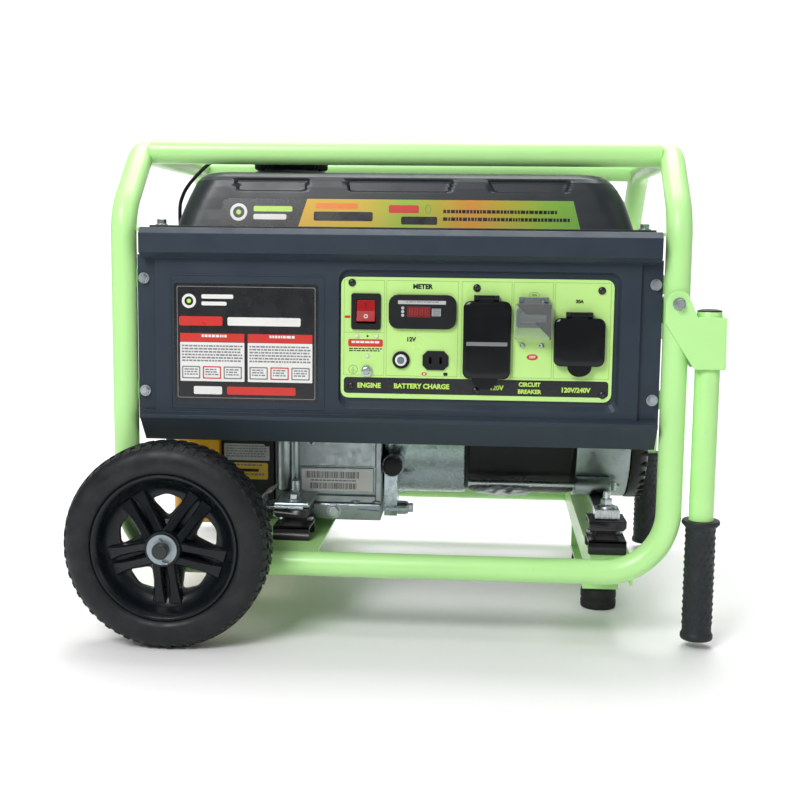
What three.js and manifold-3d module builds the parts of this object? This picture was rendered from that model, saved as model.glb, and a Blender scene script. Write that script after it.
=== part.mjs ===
// Portable open-frame generator on two wheels, in millimetres, +Z up.
// The panel faces -Y, the wheels are at -X and the folding handles at +X.
// The floor is Z = 0 and the origin is under the middle of the whole machine.
import * as THREE from 'three';
import { mergeVertices } from 'three/addons/utils/BufferGeometryUtils.js';
import { ConvexGeometry } from 'three/addons/geometries/ConvexGeometry.js';
import Module from 'manifold-3d';

const wasm = await Module();
wasm.setup();

// ---------------------------------------------------------------- driving dimensions
const FIT = 0.3; // gap between neighbouring pieces

// Tubular frame
const TUBE_R = 15;
const HALF_WIDTH = 325; // to the tube centres
const HALF_DEPTH = 245;
const BOTTOM_Z = 88;
const TOP_Z = 584;
const SHOULDER_Z = 507; // where the posts lean inwards
const TOP_RAIL_Y = 160;
const HOOP_END_Y = 118;
const CORNER_BEND = 75;
const SHOULDER_BEND = 60;
const TUBE_TOP = BOTTOM_Z + TUBE_R;

// Wheels
const TYRE_R = 121.5;
const TYRE_HALF = 31;
const RIM_R = 87;
const WHEEL_X = -261;
const WHEEL_Y = 299;
const AXLE_R = 8;
const AXLE_END = 342;
const WINDOWS = 5;

// Crossmembers, feet and isolators
const SHEET = 3;
const FOOT_X = 261;
const FOOT_Y = 87;
const FOOT_R = 23.3;
const FOOT_HEIGHT = 29.5;
const ENGINE_MOUNT_X = -133;
const ALTERNATOR_MOUNT_X = 257;
const ISOLATOR_TOP = 144;

// Folding handles
const HANDLE_OFFSET = 38; // handle tube centre outside the post centre
const HANDLE_R = 14.5;
const PIVOT_Z = 409;
const PIVOT_R = 5;
const GRIP_TOP = 155;
const GRIP_BOTTOM = 10;
const GRIP_FLANGE_R = 22.4;

// Engine and alternator, on one shaft along X
const SHAFT_Z = 240;
const SHAFT_R = 17;
const BELL_R = 106;
const STATOR_R = 104;
const ROTOR_R = 62;
const CRANKCASE_X = [-168, -26.3];
const BELL_X = [-26, 81];
const STATOR_X = [81.3, 225.7];
const END_BELL_X = [226, 297];
const CYLINDER_TILT = THREE.MathUtils.degToRad(25);

// Fuel tank
const TANK_FLANGE_Z = 489.8;
const TANK_TOP = 559;
const TANK_WALL = 3;
const NECK = { x: -149, y: -92, r: 34, bore: 24, top: 572 };

// Panel housing and the control plate let into it
const FACE_Y = -255;
const HOUSING_BACK = -224;
const WALL = 3;
const RECESS_FLOOR = -249.5;
const PLATE_BACK = RECESS_FLOOR - FIT;
const PLATE_FRONT = PLATE_BACK - 2;
const UNIT_BACK = PLATE_FRONT - FIT; // the back face of whatever sits on the plate

const WHOLE_LEFT = WHEEL_X - TYRE_R;
const WHOLE_RIGHT = HALF_WIDTH + HANDLE_OFFSET + GRIP_FLANGE_R;

// ---------------------------------------------------------------- materials
const paint = (color, roughness = 0.45, metalness = 0) =>
  new THREE.MeshStandardMaterial({ color, roughness, metalness });
const LIME = paint(0xb5f08c);
const PLATE_LIME = paint(0xcdf582, 0.4);
const SLATE = paint(0x3a424b, 0.5);
const BLACK = paint(0x17181a, 0.55);
const RUBBER = paint(0x1c1d1f, 0.85);
const YELLOW = paint(0xe5a41c, 0.4);
const RED = paint(0xc4221c, 0.35);
const GREY = paint(0x8d9299, 0.5);
const CLEAR = paint(0xdfe6e8, 0.1);
CLEAR.transparent = true;
CLEAR.opacity = 0.35;
const ALUMINIUM = paint(0xb4b8bb, 0.4, 0.9);
const STEEL = paint(0x9c9fa2, 0.35, 1);

// ---------------------------------------------------------------- shape helpers
/** Signed volume of an indexed geometry; negative when its faces point inwards. */
function signedVolume(position, index) {
  const [a, b, c] = [new THREE.Vector3(), new THREE.Vector3(), new THREE.Vector3()];
  let volume = 0;
  for (let i = 0; i < index.length; i += 3) {
    a.fromArray(position, 3 * index[i]);
    b.fromArray(position, 3 * index[i + 1]);
    c.fromArray(position, 3 * index[i + 2]);
    volume += a.dot(b.cross(c)) / 6;
  }
  return volume;
}

/** A three.js geometry as a solid that can be joined and cut. */
function solid(geometry) {
  const bare = geometry.clone();
  bare.deleteAttribute('normal');
  bare.deleteAttribute('uv');
  const merged = mergeVertices(bare, 1e-3);
  const index = [];
  for (let i = 0; i < merged.index.count; i += 3) {
    const corner = [0, 1, 2].map((k) => merged.index.getX(i + k));
    if (new Set(corner).size === 3) index.push(...corner);
  }
  const vertProperties = new Float32Array(merged.attributes.position.array);
  if (signedVolume(vertProperties, index) < 0) index.reverse();
  const triVerts = new Uint32Array(index);
  return new wasm.Manifold(new wasm.Mesh({ numProp: 3, vertProperties, triVerts }));
}

const join = (...parts) => parts.reduce((whole, part) => whole.add(part));
const cut = (base, ...tools) => tools.reduce((left, tool) => left.subtract(tool), base);

/** A block between limits in X, Y and Z. */
function block([x0, x1], [y0, y1], [z0, z1]) {
  const geometry = new THREE.BoxGeometry(x1 - x0, y1 - y0, z1 - z0);
  return solid(geometry.translate((x0 + x1) / 2, (y0 + y1) / 2, (z0 + z1) / 2));
}

/** Turns a geometry made along +Y so that it lies along the named axis. */
function lay(geometry, axis) {
  if (axis === 'x') geometry.rotateZ(-Math.PI / 2);
  if (axis === 'z') geometry.rotateX(Math.PI / 2);
  return geometry;
}

/** A solid of revolution about an axis: the profile is [radius, distance along the axis]. */
function turned(axis, profile, [x, y, z], segments = 20) {
  const points = profile.map(([r, along]) => new THREE.Vector2(r, along));
  return solid(lay(new THREE.LatheGeometry(points, segments), axis).translate(x, y, z));
}

/** A round bar between two distances along an axis, through the given point. */
function bar(axis, radius, [from, to], centre, segments = 16) {
  return turned(axis, [[0, from], [radius, from], [radius, to], [0, to]], centre, segments);
}

/** A flat outline pushed along an axis; the outline is (x, z) for Y, (y, z) for X, (x, y) for Z. */
function prism(axis, outline, [from, to], curveSegments = 2) {
  const toShape = (points) => new THREE.Shape(points.map(([a, b]) => new THREE.Vector2(a, b)));
  const shape = outline instanceof THREE.Shape ? outline : toShape(outline);
  const geometry = new THREE.ExtrudeGeometry(shape, { depth: to - from, bevelEnabled: false, curveSegments });
  if (axis === 'z') geometry.translate(0, 0, from);
  if (axis === 'y') geometry.rotateX(Math.PI / 2).translate(0, to, 0);
  if (axis === 'x') {
    const [x, y, z] = [new THREE.Vector3(1, 0, 0), new THREE.Vector3(0, 1, 0), new THREE.Vector3(0, 0, 1)];
    geometry.applyMatrix4(new THREE.Matrix4().makeBasis(y, z, x)).translate(from, 0, 0);
  }
  return solid(geometry);
}

/** A rectangle with round corners. */
function roundRect([x0, x1], [y0, y1], r) {
  const shape = new THREE.Shape();
  shape.absarc(x1 - r, y0 + r, r, -Math.PI / 2, 0);
  shape.absarc(x1 - r, y1 - r, r, 0, Math.PI / 2);
  shape.absarc(x0 + r, y1 - r, r, Math.PI / 2, Math.PI);
  shape.absarc(x0 + r, y0 + r, r, Math.PI, 1.5 * Math.PI);
  shape.closePath();
  return shape;
}

/** The convex solid around a stack of rounded rectangles, each { x, y, z, r }. */
function stack(layers) {
  const points = layers.flatMap(({ x, y, z, r }) =>
    roundRect(x, y, r).getPoints(2).map((p) => new THREE.Vector3(p.x, p.y, z)));
  return solid(new ConvexGeometry(points));
}

/** A path with stations only where they are needed: straight runs joined by round bends. */
class BentPath extends THREE.Curve {
  constructor(corners, bendRadii) {
    super();
    const points = corners.map((corner) => new THREE.Vector3(...corner));
    const heading = (i) => points[i + 1].clone().sub(points[i]).normalize();
    this.stations = [{ point: points[0], tangent: heading(0) }];
    for (let i = 1; i < points.length - 1; i += 1) {
      this.addBend(points[i], heading(i - 1), heading(i), bendRadii[i - 1]);
    }
    this.stations.push({ point: points.at(-1), tangent: heading(points.length - 2) });
  }

  addBend(corner, before, after, radius) {
    const angle = before.angleTo(after);
    const axis = before.clone().cross(after).normalize();
    const start = corner.clone().addScaledVector(before, -radius * Math.tan(angle / 2));
    const inward = axis.clone().cross(before);
    const centre = start.clone().addScaledVector(inward, radius);
    const steps = Math.ceil(angle / (Math.PI / 10));
    for (let k = 0; k <= steps; k += 1) {
      const turn = (angle * k) / steps;
      const point = start.clone().sub(centre).applyAxisAngle(axis, turn).add(centre);
      this.stations.push({ point, tangent: before.clone().applyAxisAngle(axis, turn) });
    }
  }

  station(u) {
    return this.stations[Math.round(u * (this.stations.length - 1))];
  }

  getPointAt(u) {
    return this.station(u).point.clone();
  }

  getTangentAt(u) {
    return this.station(u).tangent.clone();
  }
}

/** A round bar bent along a path. */
function tube(path, radius, steps = path.stations.length - 1, curveSegments = 8) {
  const section = new THREE.Shape().absarc(0, 0, radius, 0, 2 * Math.PI);
  return solid(new THREE.ExtrudeGeometry(section, { steps, extrudePath: path, curveSegments }));
}

const part = new THREE.Group();
part.name = 'portable_generator';
part.position.x = -(WHOLE_LEFT + WHOLE_RIGHT) / 2;

/** Adds a finished solid to the machine as one named mesh. */
function place(name, material, shape) {
  const { vertProperties, triVerts } = shape.getMesh();
  const geometry = new THREE.BufferGeometry();
  geometry.setAttribute('position', new THREE.Float32BufferAttribute(vertProperties, 3));
  geometry.setIndex(new THREE.Uint32BufferAttribute(triVerts, 1));
  geometry.computeVertexNormals();
  const mesh = new THREE.Mesh(geometry, material);
  mesh.name = name;
  part.add(mesh);
}

const SIDES = [['front', -1], ['rear', 1]];
/** Limits mirrored to one side of the machine, kept in rising order. */
const toSide = (side, [near, far]) => (side > 0 ? [near, far] : [-far, -near]);

// ---------------------------------------------------------------- frame
/** Bottom tube, posts, leaning shoulders and the start of the top tubes of one hoop. */
function hoopPath(side) {
  const [y, railY, endY] = [HALF_DEPTH, TOP_RAIL_Y, HOOP_END_Y].map((depth) => side * depth);
  const left = [[endY, TOP_Z], [railY, TOP_Z], [y, SHOULDER_Z], [y, BOTTOM_Z]];
  const corners = left.map(([cy, cz]) => [-HALF_WIDTH, cy, cz]);
  const mirrored = left.toReversed().map(([cy, cz]) => [HALF_WIDTH, cy, cz]);
  const bends = [SHOULDER_BEND, SHOULDER_BEND, CORNER_BEND];
  return new BentPath([...corners, ...mirrored], [...bends, ...bends.toReversed()]);
}

const hoopClearance = SIDES.map(([, side]) => tube(hoopPath(side), TUBE_R + FIT));

/** The welded tab under one tank ear: it leaves the post, then turns in behind the panel. */
function tankTab(side, end) {
  const z = [TANK_FLANGE_Z - 3.8, TANK_FLANGE_Z - FIT];
  const atPost = block(toSide(end, [306, 320]), toSide(side, [186, 248]), z);
  return join(atPost, block(toSide(end, [276, 310]), toSide(side, [186, 221]), z));
}

/** The bracket plate and the stub axle that are welded to the bottom tube. */
function stubAxle(side) {
  const plate = block([WHEEL_X - 20, WHEEL_X + 20], toSide(side, [240, 250]), [96, TYRE_R + 18]);
  const collar = bar('y', 13, toSide(side, [250, 262]), [WHEEL_X, 0, TYRE_R]);
  const pin = bar('y', AXLE_R, toSide(side, [245, AXLE_END]), [WHEEL_X, 0, TYRE_R]);
  return join(plate, collar, pin);
}

const PANEL_BOLT_Z = [296, 430];

/** The tab behind one panel bolt. */
function panelTab(end, z) {
  return block(toSide(end, [290, 320]), [-246.2, -243], [z - 11, z + 11]);
}

for (const [name, side] of SIDES) {
  let hoop = join(tube(hoopPath(side), TUBE_R), tankTab(side, -1), tankTab(side, 1), stubAxle(side));
  if (name === 'front') {
    for (const z of PANEL_BOLT_Z) hoop = join(hoop, panelTab(-1, z), panelTab(1, z));
  }
  const pivotHole = bar('y', PIVOT_R + FIT, toSide(side, [220, 270]), [HALF_WIDTH, 0, PIVOT_Z]);
  place(`frame_${name}_hoop`, LIME, cut(hoop, pivotHole));

  const rail = bar('x', TUBE_R, [-HALF_WIDTH, HALF_WIDTH], [0, side * TOP_RAIL_Y, TOP_Z]);
  place(`top_${name}_rail`, LIME, cut(rail, ...hoopClearance));
}

for (const [name, x] of [['left', -HALF_WIDTH], ['right', HALF_WIDTH]]) {
  const reach = HOOP_END_Y - FIT;
  place(`top_${name}_tube`, LIME, bar('y', TUBE_R, [-reach, reach], [x, 0, TOP_Z]));
}

/** A folded channel between the two bottom tubes, open side down; its webs stand in from its edges. */
function channel([x0, x1], bottom, inset = 0) {
  const y = [-HALF_DEPTH, HALF_DEPTH];
  const top = block([x0, x1], y, [TUBE_TOP - SHEET, TUBE_TOP]);
  const left = block([x0 + inset, x0 + inset + SHEET], y, [bottom, TUBE_TOP - 1]);
  const right = block([x1 - inset - SHEET, x1 - inset], y, [bottom, TUBE_TOP - 1]);
  return cut(join(top, left, right), ...hoopClearance);
}

/** The dropped strap under the right channel that carries both feet. */
function footStrap() {
  const x = [FOOT_X - 23, FOOT_X + 23];
  const bottom = FOOT_HEIGHT + FIT;
  const strap = block(x, [-112, 112], [bottom, TUBE_TOP - 1]);
  return cut(strap, block([0, 400], [-109, 109], [bottom + 3.5, 200]));
}

place('left_crossmember', LIME, channel([-185, -93], 78, 12));
place('right_crossmember', LIME, join(channel([FOOT_X - 25, FOOT_X + 25], 72), footStrap()));

for (const [name, side] of SIDES) {
  const profile = [[0, 0], [FOOT_R - 1.5, 0], [FOOT_R, 2], [FOOT_R, FOOT_HEIGHT], [0, FOOT_HEIGHT]];
  place(`${name}_foot`, RUBBER, turned('z', profile, [FOOT_X, side * FOOT_Y, 0], 24));
}

/** A rubber block between two folded brackets, standing on a crossmember. */
function isolator(x, side, centreY) {
  const y = (from, to) => toSide(side, [centreY + from, centreY + to]);
  const bottom = TUBE_TOP + FIT;
  const base = cut(
    block([x - 23, x + 23], y(-26, 25), [bottom, 120]),
    block([x - 30, x + 30], y(-23, 22), [bottom - 1, 116.5]),
  );
  const rubber = block([x - 14, x + 14], y(-17, 17), [119.5, 141]);
  const cap = cut(
    block([x - 23, x + 23], y(-24, 24), [133, ISOLATOR_TOP]),
    block([x - 30, x + 30], y(-21, 21), [130, ISOLATOR_TOP - 3.5]),
  );
  return join(base, rubber, cap);
}

for (const [name, side] of SIDES) {
  place(`isolator_${name}_left`, BLACK, isolator(ENGINE_MOUNT_X, side, 168));
  place(`isolator_${name}_right`, BLACK, isolator(ALTERNATOR_MOUNT_X, side, 197));
}

// ---------------------------------------------------------------- wheels
/** One of the triangular windows between the twin spokes, as a tool that cuts it. */
function rimWindow(index, side) {
  const middle = THREE.MathUtils.degToRad(18 + (360 / WINDOWS) * index);
  const point = (r, degrees) => {
    const angle = middle + THREE.MathUtils.degToRad(degrees);
    return [WHEEL_X + r * Math.cos(angle), TYRE_R + r * Math.sin(angle)];
  };
  const outer = [-19, -10, 0, 10, 19].map((degrees) => point(70, degrees));
  return prism('y', [point(33, 7), point(33, -7), ...outer], toSide(side, [280, 340]));
}

/** The moulded wheel: barrel, web with windows, and hub. */
function rim(side) {
  const hub = AXLE_R + FIT;
  const bead = RIM_R - FIT;
  const profile = [[hub, -30], [21, -30], [21, 2], [78, 2], [79, -25], [bead, -25], [bead, 25], [79, 25],
    [74, 13], [26, 13], [22, 30], [hub, 30], [hub, -30]];
  const mirrored = profile.map(([r, along]) => [r, side * along]);
  const body = turned('y', mirrored, [WHEEL_X, side * WHEEL_Y, TYRE_R], 30);
  const windows = Array.from({ length: WINDOWS }, (_, index) => rimWindow(index, side));
  return cut(body, ...windows);
}

/** The tyre, a closed ring around the rim. */
function tyre(side) {
  const half = [[RIM_R, 24], [93, 29], [106, TYRE_HALF], [116, 29], [TYRE_R, 22]];
  const profile = [...half, ...half.toReversed().map(([r, along]) => [r, -along]), half[0]];
  return turned('y', profile, [WHEEL_X, side * WHEEL_Y, TYRE_R], 40);
}

for (const [name, side] of SIDES) {
  place(`${name}_rim`, BLACK, rim(side));
  place(`${name}_tyre`, RUBBER, tyre(side));
}

// ---------------------------------------------------------------- folding handles
const HANDLE_X = HALF_WIDTH + HANDLE_OFFSET;
const EAR_IN = TUBE_R + 0.5; // the bracket's plates, measured from the post's centre
const EAR_OUT = EAR_IN + SHEET;

/** The U-shaped bracket that straddles the post and holds the handle tube. */
function handleBracket(y) {
  const web = HANDLE_OFFSET + HANDLE_R + 2.5;
  const outline = new THREE.Shape();
  outline.moveTo(HALF_WIDTH + web, PIVOT_Z - 15);
  outline.lineTo(HALF_WIDTH + 25, PIVOT_Z - 15);
  outline.absarc(HALF_WIDTH, PIVOT_Z, 15, Math.PI / 4, Math.PI);
  outline.lineTo(HALF_WIDTH - 15, PIVOT_Z - 24);
  outline.lineTo(HALF_WIDTH + 20, PIVOT_Z - 75);
  outline.lineTo(HALF_WIDTH + web, PIVOT_Z - 75);
  outline.closePath();
  const whole = prism('y', outline, [y - EAR_OUT, y + EAR_OUT]);
  const inside = block([HALF_WIDTH - 50, HALF_WIDTH + web - 2.5], [y - EAR_IN, y + EAR_IN], [300, 450]);
  const hole = bar('y', PIVOT_R + FIT, [y - 30, y + 30], [HALF_WIDTH, 0, PIVOT_Z]);
  return cut(whole, inside, hole);
}

/** The handle tube, open at both ends, welded between the bracket's plates. */
function handleTube(y) {
  const [bottom, top] = [GRIP_BOTTOM + 4.5, PIVOT_Z - 9];
  const wall = [[HANDLE_R - 2, bottom], [HANDLE_R, bottom], [HANDLE_R, top], [HANDLE_R - 2, top]];
  const weldY = [y - EAR_IN - 1, y + EAR_IN + 1];
  const weld = block([HANDLE_X - 8, HANDLE_X + 8], weldY, [PIVOT_Z - 70, PIVOT_Z - 20]);
  const bore = bar('z', HANDLE_R - 2, [bottom, top], [HANDLE_X, y, 0]);
  return cut(join(turned('z', [...wall, wall[0]], [HANDLE_X, y, 0]), weld), bore);
}

/** The rubber grip: a sleeve with a flange at the top and a closed end. */
function grip(y) {
  const bore = HANDLE_R + FIT;
  const profile = [[0, 10], [18, 10], [19.2, 12], [19.2, 16], [18.3, 18], [18.3, 149], [GRIP_FLANGE_R, 151],
    [GRIP_FLANGE_R, 154], [bore, GRIP_TOP], [bore, 14], [0, 14]];
  return turned('z', profile, [HANDLE_X, y, 0]);
}

for (const [name, side] of SIDES) {
  const y = side * HALF_DEPTH;
  place(`${name}_handle`, LIME, join(handleBracket(y), handleTube(y)));
  place(`${name}_grip`, RUBBER, grip(y));
  const head = EAR_OUT + 0.8;
  const profile = [[0, -head - 7], [7.5, -head - 7], [7.5, -head], [PIVOT_R, -head], [PIVOT_R, head],
    [7.5, head], [7.5, head + 6], [0, head + 6]];
  place(`${name}_pivot_bolt`, STEEL, turned('y', profile, [HALF_WIDTH, y, PIVOT_Z], 18));
}

// ---------------------------------------------------------------- fuel tank
/** The tank's outer shape, or its hollow when inset by the wall. */
function tankShape(inset) {
  const layer = (x0, x1, y, z, r) => ({
    x: [x0 + inset, x1 - inset], y: [-y + inset, y - inset], z, r: Math.max(r - inset, 3),
  });
  const upper = stack([
    layer(-274, 280, 214, TANK_FLANGE_Z + 2 + inset / 2, 30),
    layer(-262, 268, 207.5, 527 - inset, 33),
    layer(-252, 254, 203, 547.5 - inset, 34),
    layer(-236, 238, 186, TANK_TOP - inset, 28),
  ]);
  const lower = stack([
    layer(-252, 268, 200, TANK_FLANGE_Z + 4 + inset, 30),
    layer(-250, 266, 198, 445 + inset, 30),
    layer(-230, 246, 178, 425 + inset, 30),
  ]);
  return join(upper, lower);
}

/** The seam flange with its four ears. */
function tankFlange() {
  const z = [TANK_FLANGE_Z, TANK_FLANGE_Z + 3.2];
  const seam = prism('z', roundRect([-276, 282], [-217, 217], 30), z);
  const ears = SIDES.flatMap(([, side]) => [-1, 1].map((end) =>
    block(toSide(end, [255, 304]), toSide(side, [186, 214]), z)));
  return join(seam, ...ears);
}

/** Vent nipple on the top of the tank, and the fuel tap's body under it. */
const VENT = { x: -159, y: -30, z: 580.5 };
const TAP = { x: -214, y: -8, z: 408 };

function fuelTank() {
  const neck = bar('z', NECK.r, [550, NECK.top], [NECK.x, NECK.y, 0], 20);
  const boss = bar('z', 46, [550, 564.5], [NECK.x, NECK.y, 0], 24);
  const bore = bar('z', NECK.bore, [540, NECK.top + 1], [NECK.x, NECK.y, 0], 20);
  const valve = bar('z', 7.5, [552, VENT.z + 5], [VENT.x, VENT.y, 0], 16);
  const nipple = bar('x', 2.6, [-22, 0], [VENT.x, VENT.y, VENT.z], 12);
  const tap = join(bar('z', 10, [TAP.z - 12, 430], [TAP.x, TAP.y, 0], 16),
    bar('x', 9, [-16, 0], [TAP.x, TAP.y, TAP.z], 16));
  const shell = cut(join(tankShape(0), tankFlange(), boss, neck), tankShape(TANK_WALL), bore);
  return join(shell, valve, nipple, tap);
}

/** The vent hose: off the nipple, over the tank's edge and down to the air filter. */
function ventHose() {
  const start = VENT.x - 22 - FIT;
  const route = [
    [start, VENT.y, VENT.z], [start - 8, VENT.y, VENT.z], [-207, -37, 583], [-228, -62, 584],
    [-246, -92, 579], [-256, -104, 571.5], [-270, -105, 558], [-280.5, -105, 546], [-288, -105, 533],
    [-292.5, -104, 515], [-294, -92, 470], [-300, -50, 430], [-304, 40, 405], [-304, 120, 372],
    [-302, 160, 345], [-299, 171, 337], [-291, 172, 336],
  ];
  const curve = new THREE.CatmullRomCurve3(route.map((point) => new THREE.Vector3(...point)));
  return tube(curve, 2.5, 40, 4);
}

/** The screw cap, which sits over the neck. */
function fuelCap() {
  const seat = NECK.top + 0.5;
  const profile = [[0, seat], [40, seat], [40, 566], [47, 566], [47, 588], [42, 594], [0, 594]];
  return turned('z', profile, [NECK.x, NECK.y, 0], 24);
}

/** The tap's lever: a disc on the tap with an arm hanging down. */
function tapLever() {
  const x = [TAP.x - 24, TAP.x - 16 - FIT];
  return join(bar('x', 8, x, [0, TAP.y, TAP.z], 16), block(x, [TAP.y - 4, TAP.y + 4], [TAP.z - 32, TAP.z]));
}

place('fuel_tank', SLATE, fuelTank());
place('fuel_cap', BLACK, fuelCap());
place('tank_vent_hose', BLACK, ventHose());
place('fuel_valve_lever', BLACK, tapLever());

// ---------------------------------------------------------------- panel housing
const RECESS = { x: [-66.5, 257], z: [287, 441], r: 12, draft: 4.5 };
const PLATE = { x: [-64.6, 252.6], z: [292.5, 434.8], r: 9 };

const grow = ([low, high], by) => [low - by, high + by];

/** The recess for the control plate, whose walls flare towards the face; wall grows it all round. */
function recessShape(wall) {
  const layer = (y, flare) => ({
    x: [RECESS.x[0] - wall - 0.5 * (flare > 0), RECESS.x[1] + wall + flare],
    y: [RECESS.z[0] - wall - 1.8 * flare, RECESS.z[1] + wall + 0.6 * flare],
    z: -y,
    r: RECESS.r + wall,
  });
  const floor = layer(RECESS_FLOOR + (wall ? WALL : 0), 0);
  const mouth = layer(FACE_Y + (wall ? 1 : -1), RECESS.draft);
  return stack([floor, mouth]).rotate([90, 0, 0]);
}

/** The moulded shell between the posts, open at the back. */
function panelHousing() {
  const band = [[HOUSING_BACK, 490], [-262, 490], [-270, 483], [-270, 461], [-262, 455], [HOUSING_BACK, 452]];
  const bandInside = [[-200, 487], [-261, 487], [-267, 482], [-267, 462], [-260, 458], [-200, 458]];
  const skirt = [[HOUSING_BACK, 272], [-259, 272], [-265, 269], [-265, 265], [-240, 236],
    [HOUSING_BACK, 236]];
  const skirtInside = [[-200, 269], [-258, 269], [-262, 267], [-262, 266], [-238.7, 239], [-200, 239]];
  const outer = join(
    prism('x', band, [-301, 304]),
    prism('x', skirt, [-303, 306]),
    block([-286, 283], [FACE_Y, HOUSING_BACK], [262, 462]),
  );
  const inner = join(
    prism('x', bandInside, [-298, 301]),
    prism('x', skirtInside, [-300, 303]),
    block([-283, 280], [FACE_Y + WALL, -200], [250, 487]),
  );
  const flanges = join(
    block([-308, -283], [RECESS_FLOOR, RECESS_FLOOR + WALL], [262, 458]),
    block([280, 308], [RECESS_FLOOR, RECESS_FLOOR + WALL], [262, 458]),
  );
  const window = block(grow(PLATE.x, -8), [-252, -240], grow(PLATE.z, -8));
  return cut(join(cut(outer, inner), flanges, recessShape(WALL)), recessShape(0), window);
}

place('panel_housing', SLATE, panelHousing());

// ---------------------------------------------------------------- control panel
/** Where each unit on the panel sits: limits in X and Z of its flange. */
const SWITCH = { x: [-52.5, -17.7], z: [373.3, 415.8] };
const METER = { x: [-8.4, 70.8], z: [375, 415.1] };
const METER_BUTTON = { x: [42, 53], z: [390.3, 399.3] };
const DC_SOCKET = { x: [31.9, 62.3], z: [327, 349.6] };
const DC_BREAKER = { x: 6.6, z: 338.3, r: 10.3, body: 9, button: 6.9 };
const DUPLEX = { x: [79, 134.5], z: [318, 409], tab: [97, 114.2] };
const BREAKER = { x: [137.8, 182.1], z: [364.8, 407.6], tab: [149, 171] };
const BREAKER_BASE = { x: [140.4, 179.6], z: [378.5, 400.5] };
const LOCKING = { x: [184, 243], z: [334.6, 391], tab: [203.7, 222.3] };
const EARTH_STUD = { x: -33.7, z: 324.6, r: 3 };

const inset = ([low, high], by) => [low + by, high - by];

/** The opening in the plate that a unit's body goes through. */
const plateHole = ({ x, z }, by) => block(inset(x, by), [-260, -240], inset(z, by));

/** The unit's flange on the plate and its body behind it. */
function panelUnit({ x, z }, { flange, margin, depth, radius = 3 }) {
  return join(
    prism('y', roundRect(x, z, radius), [UNIT_BACK - flange, UNIT_BACK]),
    block(inset(x, margin), [UNIT_BACK - 1, UNIT_BACK + depth], inset(z, margin)),
  );
}

/** The lime plate with its cut-outs. */
function controlPlate() {
  const plate = prism('y', roundRect(PLATE.x, PLATE.z, PLATE.r), [PLATE_FRONT, PLATE_BACK]);
  const square = [SWITCH, METER, DC_SOCKET, DUPLEX, LOCKING].map((unit) => plateHole(unit, 4));
  const round = [[DC_BREAKER, DC_BREAKER.body + 0.4], [EARTH_STUD, 3.4]].map(([{ x, z }, r]) =>
    bar('y', r, [-260, -240], [x, 0, z], 20));
  return cut(plate, plateHole(BREAKER_BASE, 2), ...square, ...round);
}

/** The rocker switch: a bezel with a well, and a paddle that rocks in it. */
function switchBezel() {
  const body = panelUnit(SWITCH, { flange: 2.6, margin: 4.4, depth: 18 });
  return cut(body, block(inset(SWITCH.x, 6), [-258, -240], inset(SWITCH.z, 7.2)));
}

const ROCKER = { y: -250, z: (SWITCH.z[0] + SWITCH.z[1]) / 2, tilt: THREE.MathUtils.degToRad(9) };

function switchPaddle() {
  const outline = [[-6.3, -12.6], [-4.2, 0], [-6.3, 12.6], [0, 11], [4, 0], [0, -11]];
  const turnedOutline = outline.map(([y, z]) => {
    const point = new THREE.Vector2(y, z).rotateAround(new THREE.Vector2(), -ROCKER.tilt);
    return [ROCKER.y + point.x, ROCKER.z + point.y];
  });
  return prism('x', turnedOutline, inset(SWITCH.x, 6.5));
}

/** The meter: a round-cornered bezel with a well for its push button. */
function digitalMeter() {
  const body = panelUnit(METER, { flange: 4.5, margin: 4.4, depth: 30, radius: 11 });
  return cut(body, block(inset(METER_BUTTON.x, -0.4), [-258, -250.5], inset(METER_BUTTON.z, -0.4)));
}

function dcBreaker() {
  const { x, z, r, body, button } = DC_BREAKER;
  const front = UNIT_BACK - 2.5;
  const profile = [[0, front], [r, front], [r, UNIT_BACK], [body, UNIT_BACK], [body, -232], [0, -232]];
  return cut(turned('y', profile, [x, 0, z], 24), bar('y', button + FIT, [-256, -238], [x, 0, z]));
}

const dcBreakerButton = () => bar('y', DC_BREAKER.button, [-258, -242.5], [DC_BREAKER.x, 0, DC_BREAKER.z]);

/** Slots for a flat-blade plug: two blades and a round earth pin, centred on (x, z). */
function plugSlots(x, z) {
  const y = [-262, -242];
  return [
    block([x - 8.5, x - 6], y, [z - 2, z + 6]),
    block([x + 6, x + 8.5], y, [z - 2, z + 6]),
    bar('y', 2.6, y, [x, 0, z - 8], 12),
  ];
}

/** The DC outlet: a flange with cut corners and two blade slots. */
function dcSocket() {
  const { x: [x0, x1], z: [z0, z1] } = DC_SOCKET;
  const corner = 5.5;
  const outline = [[x0 + corner, z0], [x1 - corner, z0], [x1, z0 + corner], [x1, z1 - corner],
    [x1 - corner, z1], [x0 + corner, z1], [x0, z1 - corner], [x0, z0 + corner]];
  const flange = prism('y', outline, [UNIT_BACK - 1.8, UNIT_BACK]);
  const body = block(inset(DC_SOCKET.x, 4.4), [UNIT_BACK - 1, UNIT_BACK + 16], inset(DC_SOCKET.z, 4.4));
  const [x, z] = [(x0 + x1) / 2, (z0 + z1) / 2];
  const slots = [x - 7.5, x + 4.7].map((left) => block([left, left + 2.8], [-256, -242], [z - 4, z + 4]));
  return cut(join(flange, body), ...slots);
}

const COVER_PIVOT = { y: UNIT_BACK - 7.4, above: 3.5 }; // hinge line of the flaps, above their top edge

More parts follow.
